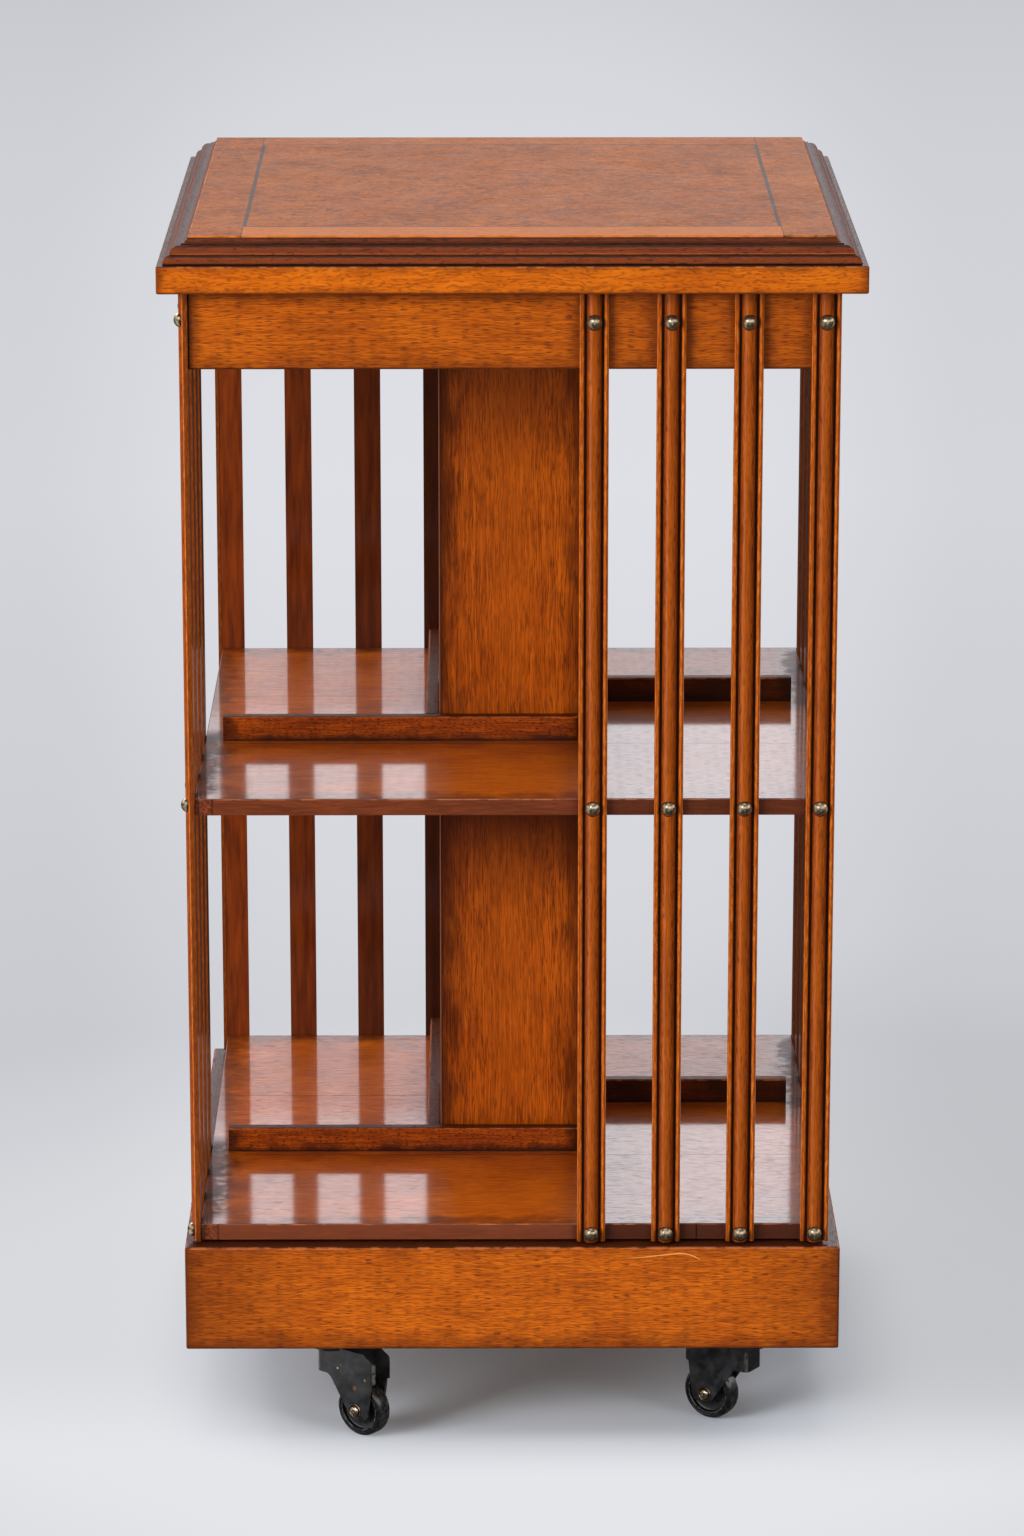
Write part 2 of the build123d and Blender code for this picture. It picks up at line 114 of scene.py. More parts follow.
class Sock:
    """One output of a shader node, with the arithmetic that adds nodes behind it."""

    __add__, __radd__ = joined("ADD"), joined("ADD", swapped=True)
    __sub__, __rsub__ = joined("SUBTRACT"), joined("SUBTRACT", swapped=True)
    __mul__, __rmul__ = joined("MULTIPLY"), joined("MULTIPLY", swapped=True)
    __truediv__, __pow__ = joined("DIVIDE"), joined("POWER")
    __gt__, __abs__ = joined("GREATER_THAN"), joined("ABSOLUTE")
    sign, floor = joined("SIGN"), joined("FLOOR")
    least, most = joined("MINIMUM"), joined("MAXIMUM")

    def __init__(self, graph: "Graph", link: bpy.types.NodeSocket) -> None:
        """Keep the graph and the output."""
        self.graph = graph
        self.link = link

    def smooth(self, low: float, high: float) -> "Sock":
        """Rise softly from nothing at low to one at high, or fall if low is the greater."""
        inputs = {0: self, 1: low, 2: high}
        return self.graph.read("ShaderNodeMapRange", {"interpolation_type": "SMOOTHSTEP"}, inputs)

    def ramp(self, stops: Stops) -> "Sock":
        """Read a colour from a row of stops."""
        return self.graph.read("ShaderNodeValToRGB", {"stops": stops}, {0: self})

    def toward(self, other: Term, share: Term) -> "Sock":
        """Blend this colour with another: none of the other at nothing, all of it at one."""
        return self.graph.mix(share, self, other)


class Graph:
    """The node tree of one finish."""

    def __init__(self, tree: bpy.types.NodeTree) -> None:
        """Start from an empty tree."""
        self.tree = tree
        self.tree.nodes.clear()

    def node(self, kind: str, settings: dict, inputs: dict) -> bpy.types.Node:
        """Add a node.

        Args:
            kind: The node's type.
            settings: Its own settings, and under "stops" the positions and colours of a ramp.
            inputs: Numbers, colours or outputs for its sockets, by name or place.

        Returns:
            The node.
        """
        made = self.tree.nodes.new(kind)
        for key, value in settings.items():
            if key == "stops":
                self.fill_ramp(made.color_ramp, value)
            else:
                setattr(made, key, value)
        for key, value in inputs.items():
            self.feed(made.inputs[key], value)
        return made

    def read(self, kind: str, settings: dict, inputs: dict, output: Union[int, str] = 0) -> Sock:
        """Add a node and give one of its outputs."""
        return Sock(self, self.node(kind, settings, inputs).outputs[output])

    @staticmethod
    def fill_ramp(ramp: bpy.types.ColorRamp, stops: Stops) -> None:
        """Give a ramp its stops.

        Args:
            ramp: The ramp.
            stops: Its positions and colours, from the first to the last.
        """
        while len(ramp.elements) < len(stops):
            ramp.elements.new(1.0)
        for element, (position, colour) in zip(ramp.elements, stops):
            element.position = position
            element.color = (*colour, 1.0)

    def feed(self, socket: bpy.types.NodeSocket, value: Term) -> None:
        """Link an output to a socket, or set a number or colour on it.

        Args:
            socket: The socket.
            value: The output, number, vector or colour.
        """
        if isinstance(value, Sock):
            self.tree.links.new(value.link, socket)
        elif isinstance(value, (int, float)) and socket.type == "VECTOR":
            socket.default_value = (value, value, value)
        elif isinstance(value, (int, float)) and socket.type == "RGBA":
            socket.default_value = (value, value, value, 1.0)
        elif socket.type == "RGBA":
            socket.default_value = (*value, 1.0)
        else:
            socket.default_value = value

    def combine(self, operation: str, first: Term, second: Term) -> Sock:
        """Join two terms by Math, or by Vector Math where either is a vector or colour.

        Args:
            operation: The node's operation.
            first: The first term.
            second: The second term.

        Returns:
            The result.
        """
        terms = (first, second)
        wide = any(isinstance(term, Sock) and term.link.type in {"VECTOR", "RGBA"} for term in terms)
        wide = wide or any(isinstance(term, tuple) for term in terms)
        kind = "ShaderNodeVectorMath" if wide else "ShaderNodeMath"
        return self.read(kind, {"operation": operation}, {0: first, 1: second})

    def mix(self, factor: Term, first: Term, second: Term) -> Sock:
        """Blend two colours: the first at nothing, the second at one."""
        inputs = {0: factor, 6: first, 7: second}
        return self.read("ShaderNodeMix", {"data_type": "RGBA"}, inputs, 2)

    def blend(self, factor: Sock, first: Sock, second: Sock) -> Sock:
        """Blend two shaders: the first at nothing, the second at one."""
        return self.read("ShaderNodeMixShader", {}, {0: factor, 1: first, 2: second})

    def ray(self, kind: str) -> Sock:
        """One for rays of a kind, such as Camera or Glossy."""
        return self.read("ShaderNodeLightPath", {}, {}, f"Is {kind} Ray")

    def noise(self, parts: Sequence[Sock], detail: float) -> Sock:
        """Soft noise whose features are about one unit across."""
        where = self.read("ShaderNodeCombineXYZ", {}, dict(enumerate(parts)))
        return self.read("ShaderNodeTexNoise", {}, {"Vector": where, "Scale": 1.0, "Detail": detail})

    def split(self, where: Sock) -> "Point":
        """Part a vector into its three coordinates."""
        parts = self.node("ShaderNodeSeparateXYZ", {}, {0: where})
        return Point(*[Sock(self, out) for out in parts.outputs])

    def place(self, centre: Triple = (0.0, 0.0, 0.0), heading: float = 0.0) -> "Point":
        """Give the shaded point's place.

        Args:
            centre: The point that counts as the origin, in metres.
            heading: How far the first axis is turned from +X, in radians.

        Returns:
            The place in millimetres.
        """
        start = self.read("ShaderNodeTexCoord", {}, {}, "Object")
        inputs = {0: start, 1: centre, 2: (0.0, 0.0, heading)}
        return self.split(self.read("ShaderNodeMapping", {"vector_type": "TEXTURE"}, inputs) * MM)

    def bump(self, height: Sock, depth_mm: float) -> Sock:
        """Turn a height from 0 to 1 into a normal."""
        inputs = {"Height": height, "Distance": depth_mm / MM, "Strength": 1.0}
        return self.read("ShaderNodeBump", {}, inputs)

    def surface(self, inputs: dict) -> None:
        """End the tree in one Principled shader with these sockets."""
        shader = self.read("ShaderNodeBsdfPrincipled", {}, inputs)
        self.node("ShaderNodeOutputMaterial", {}, {"Surface": shader})


@dataclass(frozen=True)
class Point:
    """A shaded point, by its distances along three directions in millimetres."""

    x: Sock
    y: Sock
    z: Sock

    def noise(self, size: Size, detail: float = 0.0) -> Sock:
        """Soft noise from about 0.2 to 0.8.

        Args:
            size: Reach of its features in millimetres, all round or along each direction.
            detail: How much finer noise lies on it.

        Returns:
            The noise at this point.
        """
        sizes = (size,) * 3 if isinstance(size, float) else size
        parts = [part / reach for part, reach in zip((self.x, self.y, self.z), sizes)]
        return self.x.graph.noise(parts, detail)

    def sway(self, size: Size, detail: float = 0.0) -> Sock:
        """The same noise, spread about nothing."""
        return self.noise(size, detail) - 0.5


@dataclass(frozen=True)
class Spot:
    """A shaded point on its side of the case, in millimetres.

    Attributes:
        along: Distance along the side, left to right from outside.
        height: Height above the floor.
        out: Distance outwards from the turning axis.
        board: The side's number: front 0, right 1, back 2, left 3.
    """

    along: Sock
    height: Sock
    out: Sock
    board: Sock

    def grain(self, step: float) -> Point:
        """Give the point for a figure, moved on by a step for each board so that no two match."""
        return Point(self.along + self.board * step, self.height, self.out)

    def inside(self, half: float, low: float, high: float) -> Sock:
        """Distance to the nearest edge of a board from half its length and its lower and upper edge."""
        return (half - abs(self.along)).least(self.height - low).least(high - self.height)

    def front(self) -> Sock:
        """One on the front, nothing on the other sides."""
        return abs(self.board).smooth(0.5, 0.4)


def side_spot(graph: Graph) -> Spot:
    """Place a point on whichever side of the case it lies.

    Args:
        graph: The finish's graph.

    Returns:
        The point.
    """
    point = graph.place()
    x, y = point.x, point.y
    faces = abs(y) > abs(x)
    along = faces * x * (0.0 - y.sign()) + (1.0 - faces) * y * x.sign()
    board = faces * (1.0 + y.sign()) + (1.0 - faces) * (2.0 - x.sign())
    return Spot(along, point.z, abs(x).most(abs(y)), board)


def stop_spot(graph: Graph, run: float) -> Spot:
    """Place a point on one of the four book stops round the column.

    Args:
        graph: The finish's graph.
        run: Distance of a stop's middle line from the axis.

    Returns:
        The point, with its distance along the stop from the column outwards.
    """
    point = graph.place()
    x, y = point.x, point.y
    half_stop = 5.0
    along_x = abs(abs(x) - run) + x.sign() * y.sign() * half_stop > abs(abs(y) - run)
    along = along_x * x * y.sign() + (1.0 - along_x) * (0.0 - y * x.sign())
    board = along_x * (1.0 + y.sign()) + (1.0 - along_x) * (2.0 - x.sign())
    out = along_x * abs(y) + (1.0 - along_x) * abs(x)
    return Spot(along, point.z, out, board)


@dataclass(frozen=True)
class Tint:
    """A colour that shows near something, such as an edge, or where noise is strong.

    Attributes:
        colour: The colour.
        share: How much of it shows at most, from 0 to 1.
        gone: Distance in millimetres, or strength of noise, at which none of it shows.
        full: The same, where it shows most.
    """

    colour: Rgb
    share: float
    gone: float
    full: float


@dataclass(frozen=True)
class Stain:
    """The colours of one polished wood, from its palest streak to its glaze."""

    light: Rgb
    mid: Rgb
    deep: Rgb
    pore: Rgb
    glaze: Rgb


CASE_STAIN = Stain(
    paint(208, 104, 12), paint(186, 88, 8), paint(158, 71, 7), paint(98, 40, 5), paint(78, 28, 6)
)
SLAB_STAIN = Stain(
    paint(210, 108, 12), paint(194, 94, 8), paint(174, 80, 7), paint(98, 42, 5), paint(90, 34, 7)
)
SHELF_STAIN = Stain(
    paint(212, 108, 9), paint(188, 88, 6), paint(154, 66, 5), paint(92, 37, 5), paint(60, 22, 6)
)
COLUMN_STAIN = Stain(
    paint(206, 98, 10), paint(178, 80, 6), paint(144, 60, 5), paint(84, 33, 4), paint(60, 20, 4)
)
STOP_STAIN = Stain(
    paint(190, 86, 10), paint(158, 66, 6), paint(122, 47, 4), paint(60, 22, 4), paint(34, 11, 3)
)
DARK_STAIN = Stain(
    paint(138, 66, 34), paint(110, 51, 24), paint(82, 36, 17), paint(36, 15, 8), paint(36, 14, 8)
)
REED_STAIN = Stain(
    paint(174, 83, 10), paint(151, 67, 6), paint(122, 51, 5), paint(70, 27, 5), paint(62, 23, 5)
)
PANEL_STAIN = Stain(
    paint(183, 100, 18), paint(153, 79, 13), paint(108, 53, 9), paint(56, 27, 9), paint(88, 42, 18)
)
INNER_STAIN = Stain(
    paint(204, 166, 118), paint(182, 142, 96), paint(154, 114, 72), paint(110, 76, 46), paint(96, 66, 42)
)


@dataclass(frozen=True)
class Wood:
    """A polished wood: how its grain is drawn and how it shines.

    Attributes:
        stain: Its colours.
        curl: How far the short waves push the grain aside, in millimetres.
        streak: Length of the fine streaks.
        pore_length: Length of a pore mark.
        pore_width: Width of a pore mark.
        pore_from: Noise level that pores start from; lower is denser.
        pore_depth: How much of the pore colour shows in a pore.
        glaze_reach: How far dark glaze creeps in from an edge.
        glaze_depth: How much of the glaze colour shows at the edge.
        roughness: Of the wood under its polish.
        sheen: How strongly the wood itself mirrors, from 0 to 1.
        polish: Weight of the clear coat.
        polish_blur: Roughness of the clear coat.
        relief: Depth of the pores, in millimetres.
    """

    stain: Stain
    curl: float = 1.5
    streak: float = 24.0
    pore_length: float = 7.0
    pore_width: float = 0.55
    pore_from: float = 0.58
    pore_depth: float = 0.75
    glaze_reach: float = 16.0
    glaze_depth: float = 0.6
    roughness: float = 0.36
    sheen: float = 0.11
    polish: float = 0.1
    polish_blur: float = 0.12
    relief: float = 0.05

    def figure(self, point: Point) -> tuple[Sock, Sock]:
        """Draw the bare figure.

        Args:
            point: The point, along the grain, across the face and into the wood.

        Returns:
            The colour, and a mask that is one in the pores.
        """
        long_bend, short_bend = point.sway((85.0, 24.0, 24.0), 1.0), point.sway((12.0, 8.0, 8.0), 1.0)
        bent = Point(point.x, point.y + long_bend * 7.0 + short_bend * self.curl, point.z)
        band_length = self.streak * 2.2
        fine = bent.noise((self.streak, 0.9, 0.9), 1.0)
        bands = bent.noise((band_length, 2.6, 2.6), 1.0)
        clouds = point.noise((46.0, 26.0, 26.0), 2.0)
        tone = fine * 0.52 + bands * 0.22 + clouds * 0.26
        colour = tone.ramp(((0.36, self.stain.deep), (0.5, self.stain.mid), (0.64, self.stain.light)))
        contours = bent.noise((band_length, 3.6, 3.6), 2.0) * 3.4
        veins = abs(contours - contours.floor() - 0.5).smooth(0.13, 0.03)
        veins = veins * bent.noise((12.0, 5.0, 5.0)).smooth(0.44, 0.62)
        pores = bent.noise((self.pore_length, self.pore_width, self.pore_width))
        pores = pores.smooth(self.pore_from, self.pore_from + 0.07)
        return colour.toward(self.stain.pore, (pores * self.pore_depth).most(veins * 0.35)), pores

    def aged(self, colour: Sock, edge: Sock, point: Point) -> Sock:
        """Darken a board towards its edges, unevenly.

        Args:
            colour: The figure's colour.
            edge: Distance to the nearest edge, in millimetres.
            point: The point that the unevenness follows.

        Returns:
            The darkened colour.
        """
        reach = edge + point.sway(14.0, 2.0) * self.glaze_reach * 1.5
        shade = reach.smooth(self.glaze_reach, 0.0) * self.glaze_depth
        crease = edge.smooth(2.6, 0.0) * 0.45
        return colour.toward(self.stain.glaze, shade.most(crease))

    def finish(self, colour: Sock, pores: Sock, dulled: Term = 0.0) -> None:
        """End the tree with the polish over a colour.

        Args:
            colour: Colour of the wood.
            pores: One in the pores.
            dulled: How much of the polish has gone.
        """
        graph = colour.graph
        graph.surface({
            "Base Color": colour,
            "Roughness": self.roughness + graph.place().sway(38.0, 2.0) * 0.16 + pores * 0.12,
            "Normal": graph.bump(1.0 - pores, self.relief),
            "Coat Weight": (1.0 - pores * 0.4) * (1.0 - dulled) * self.polish,
            "Coat Roughness": self.polish_blur,
            "Specular IOR Level": self.sheen,
        })


@dataclass(frozen=True)
class Metal:
    """A metal or a hard black: its colours, its sheen and its wear.

    Attributes:
        bright: Colour where it is rubbed.
        dull: Colour where it is dark.
        metallic: One for bare metal, nothing for paint.
        roughness: Middle roughness.
        grain: Size of the mottling, in millimetres.
        relief: Depth of the mottling, in millimetres.
    """

    bright: Rgb
    dull: Rgb
    metallic: float
    roughness: float
    grain: float
    relief: float = 0.03

    def figure(self, point: Point) -> tuple[Sock, Sock]:
        """Mottle the metal.

        Args:
            point: The point.

        Returns:
            The colour and the mottling that drew it.
        """
        mottle = point.noise(self.grain, 3.0)
        scratch = point.noise((1 / 0.35, 1 / 2.4, 1 / 1.1), 1.0).smooth(0.6, 0.72)
        rubbed = mottle.smooth(0.35, 0.68) + scratch * 0.25
        return mottle.graph.mix(rubbed, self.dull, self.bright), mottle

    def finish(self, colour: Sock, mottle: Sock) -> None:
        """End the tree with this metal's sheen.

        Args:
            colour: The metal's colour.
            mottle: Its mottling.
        """
        colour.graph.surface({
            "Base Color": colour,
            "Metallic": self.metallic,
            "Roughness": self.roughness + (mottle - 0.5) * 0.25,
            "Normal": colour.graph.bump(mottle, self.relief),
        })


AGED_BRASS = Metal(paint(172, 156, 130), paint(120, 104, 78), 0.9, 0.32, 2.2, 0.02)
BUSH_BRASS = Metal(paint(206, 170, 96), paint(160, 124, 62), 1.0, 0.28, 5.0)
BARE_STEEL = Metal(paint(176, 176, 178), paint(118, 116, 114), 1.0, 0.36, 8.0)
RIVET_STEEL = Metal(paint(206, 178, 140), paint(128, 102, 72), 1.0, 0.32, 1.1, 0.12)
JAPANNED = Metal(paint(38, 39, 41), paint(15, 16, 17), 0.1, 0.42, 6.0)
FORK_BLACK = replace(JAPANNED, relief=0.05)
TYRE_BLACK = Metal(paint(28, 28, 29), paint(14, 14, 15), 0.0, 0.26, 5.0)


def new_finish(name: str) -> tuple[bpy.types.Material, Graph]:
    """Make an empty material.

    Args:
        name: Its name.

    Returns:
        The material and its graph.
    """
    material = bpy.data.materials.new(name)
    material.use_nodes = True
    return material, Graph(material.node_tree)


class Coat:
    """A finish as it grows, layer by layer.

    Attributes:
        base: The wood or metal under it.
        material: The finish itself.
        graph: Its graph.
        colour: Its colour so far.
        marks: The wood's pores or the metal's mottling.
    """

    colour: Sock
    marks: Sock

    def __init__(self, name: str, base: Union[Wood, Metal]) -> None:
        """Start an empty finish on a wood or metal."""
        self.base = base
        self.material, self.graph = new_finish(name)

    def draw(self, point: Point) -> Point:
        """Draw the bare wood or metal, and give the same point."""
        self.colour, self.marks = self.base.figure(point)
        return point

    def age(self, edge: Sock, point: Point) -> None:
        """Darken a board near its edge, unevenly by the point."""
        self.colour = self.base.aged(self.colour, edge, point)

    def add(self, colour: Term, share: Term) -> None:
        """Lay a share of a colour over it."""
        self.colour = self.colour.toward(colour, share)

    def tint(self, tint: Tint, follows: Sock, where: Term = 1.0) -> None:
        """Lay a tint over it, by the distance or noise that it follows, where it may show."""
        self.add(tint.colour, follows.smooth(tint.gone, tint.full) * (tint.share * where))

    def close(self, **wear: Term) -> bpy.types.Material:
        """End the finish and give its material."""
        self.base.finish(self.colour, self.marks, **wear)
        return self.material

    def put_on(self, *nodes: str, **wear: Term) -> None:
        """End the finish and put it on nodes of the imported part.

        Args:
            nodes: The nodes' names.
            wear: For a wood, how much of its polish has gone, as dulled.
        """
        self.close(**wear)
        for name in nodes:
            mesh = frame["nodes"][name].data
            mesh.materials.clear()
            mesh.materials.append(self.material)
            LOG.info("%s wears %s", name, self.material.name)


def low_high(node: str) -> tuple[Vector, Vector]:
    """Give a node's lowest and highest corners in millimetres."""
    low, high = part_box(node)
    return low * MM, high * MM


@dataclass
class Top:
    """The square top: board, moulding, panel with its banding and line.

    Attributes:
        half: Half the board's width.
        low: Underside of the board.
        high: Upper face of the board.
        face: Upper face of the panel.
        panel_half: Half the panel's width.
        line_half: Half the width round the dark line.
    """

    BOARD_LEDGE = Tint(paint(34, 15, 9), 0.9, -0.9, -0.2)
    BOARD_UNDERSIDE_SHADE = Tint(paint(74, 28, 6), 0.7, 1.8, 0.7)
    BOARD_ARRIS = Tint(paint(232, 150, 70), 0.25, -1.6, -0.6)
    BOARD_ENDS = Tint(SLAB_STAIN.glaze, 0.55, 9.0, 0.5)
    # Quirk and cove colours: painted shade in the moulding's hollows, the quirk black also used for grime.
    # The rubbed line: wear with a painted highlight.
    QUIRK, BEAD, OVOLO = paint(22, 11, 7), paint(120, 54, 19), paint(112, 48, 17)
    RUBBED_AND_HIGHLIT_LINE, COVE_SHADE = paint(168, 84, 36), paint(78, 34, 14)
    MOULDING_ZONES = (
        (0.0, QUIRK), (0.05, QUIRK), (0.09, BEAD), (0.26, BEAD), (0.31, QUIRK), (0.37, QUIRK),
        (0.4, RUBBED_AND_HIGHLIT_LINE), (0.44, OVOLO), (0.6, OVOLO), (0.67, QUIRK), (0.71, QUIRK),
        (0.75, COVE_SHADE), (0.9, COVE_SHADE), (0.95, QUIRK),
    )
    MOULDING_GRIME = Tint(QUIRK, 0.55, 0.6, 0.7)
    MOULDING_FOOT_SHADE = Tint(QUIRK, 0.9, 1.1, 0.5)
    STRIP_JOINT = Tint(PANEL_STAIN.pore, 0.75, 0.55, 0.15)
    BANDING_RIM = Tint(paint(216, 122, 66), 0.7, 1.4, 0.4)
    PALE_STRIPS = paint(210, 120, 50)
    LINE_TONES = ((0.35, paint(20, 12, 10)), (0.7, paint(58, 36, 28)))

    half: float
    low: float
    high: float
    face: float
    panel_half: float
    line_half: float

    @classmethod
    def measured(cls) -> "Top":
        """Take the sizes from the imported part.

        Returns:
            The top.
        """
        low, high = low_high("top_board")
        panel = low_high("top_panel")[1]
        line = low_high("top_stringing")[1]
        return cls(high.x, low.z, high.z, panel.z, panel.x, line.x)

    def dress_board(self) -> None:
        """Finish the plain board: amber edges, a dark ledge, painted shade along its lower edge, a rubbed
        upper arris.
        """
        coat = Coat("amber_slab", Wood(
            SLAB_STAIN, curl=3.0, pore_length=4.5, pore_width=1.1, pore_depth=0.45, glaze_reach=7.0,
        ))
        spot = side_spot(coat.graph)
        grain = spot.grain(731.0)
        coat.draw(Point(grain.x, grain.y * 0.8 + 90.0, grain.z))
        coat.age(spot.inside(self.half, self.low, self.high) + 1.5, grain)
        rise = spot.height - self.high
        coat.tint(self.BOARD_LEDGE, rise)
        # Painted shade along the lower edge, where the board overhangs the frieze.
        coat.tint(self.BOARD_UNDERSIDE_SHADE, spot.height - self.low)
        worn = grain.noise(6.0, 2.0).smooth(0.48, 0.62)
        edge_face = (spot.out - self.half).smooth(-1.3, -0.4)
        coat.tint(self.BOARD_ARRIS, rise, edge_face * worn)
        coat.tint(self.BOARD_ENDS, self.half - abs(spot.along))
        coat.put_on("top_board")

    def dress_moulding(self) -> None:
        """Finish the moulding: dark brown, painted shade in its quirks, cove and foot, rubbed and
        painted-highlit high lines.
        """
        coat = Coat("dark_moulding", Wood(DARK_STAIN, roughness=0.34, sheen=0.09, polish=0.0, relief=0.03))
        spot = side_spot(coat.graph)
        grain = spot.grain(517.0)
        coat.draw(Point(grain.x, spot.height + spot.out, spot.out))
        rise = spot.height - self.high + grain.sway((12.0, 8.0, 8.0), 2.0) * 0.7
        # Zones across the profile: painted shade in the quirks and cove, rubbed wear with a painted
        # highlight on the high line.
        coat.add((rise / (self.face - self.high)).ramp(self.MOULDING_ZONES), 0.7)
        coat.tint(self.MOULDING_GRIME, grain.noise((5.0, 1.6, 1.6), 1.0))
        # Painted shade along the moulding's foot.
        coat.tint(self.MOULDING_FOOT_SHADE, rise)
        coat.put_on("top_moulding")

    def dress_veneer(self, veneer: Veneer) -> None:
        """Finish the panel's field or its banding with burr figure.

        Args:
            veneer: Which of the two.
        """
        stain = PANEL_STAIN
        base = Wood(stain, roughness=0.42, sheen=0.051, polish=0.0, relief=0.03)
        coat = Coat(f"figured_{veneer.name.lower()}", base)
        point = coat.graph.place()
        swirl = point.sway((16.0, 13.0, 13.0), 2.0) * 16.0
        twist = Point(point.x + 440.0, point.y, point.z).sway((11.0, 9.0, 9.0), 2.0) * 16.0
        bent = Point(point.x + twist, point.y + swirl, point.z)
        burr = bent.noise((9.0, 4.2, 6.0), 3.0)
        fleck = bent.noise((4.6, 2.2, 2.6), 2.0)
        cloud = point.noise((48.0, 34.0, 34.0), 2.0)
        tone = burr * 0.34 + fleck * 0.46 + cloud * 0.2
        coat.colour = tone.ramp(((0.4, stain.deep), (0.5, stain.mid), (0.6, stain.light)))
        rings = burr * 8.0
        veins = abs(rings - rings.floor() - 0.5).smooth(0.1, 0.0) * cloud.smooth(0.36, 0.6)
        coat.marks = fleck.smooth(0.62, 0.69)
        coat.add(stain.pore, coat.marks.most(veins) * 0.7)
        if veneer is Veneer.BANDING:
            self.set_off(coat, point)
        coat.put_on(veneer.value)

    def set_off(self, coat: Coat, point: Point) -> None:
        """Set the banding's strips off: paler front and back strips, dark joints, a rubbed rim.

        Args:
            coat: The veneer's finish.
            point: The shaded point.
        """
        across = abs(point.x)
        end_strips = across > self.line_half - 0.05
        pale = point.y.smooth(0.0, -60.0) * 0.4 + 0.12
        coat.add(self.PALE_STRIPS, (1.0 - end_strips) * pale)
        coat.tint(self.STRIP_JOINT, abs(across - self.line_half - 0.2))
        worn = point.noise(12.0, 2.0).smooth(0.4, 0.6)
        coat.tint(self.BANDING_RIM, self.panel_half - across.most(abs(point.y)), worn)

    def dress_line(self) -> None:
        """Finish the dark line between the field and the banding."""
        coat = Coat("ebony_line", Wood(DARK_STAIN, roughness=0.5, sheen=0.2, polish=0.0))
        speck = coat.graph.place().noise(3.0, 2.0)
        coat.colour, coat.marks = speck.ramp(self.LINE_TONES), speck * 0.2
        coat.put_on("top_stringing")


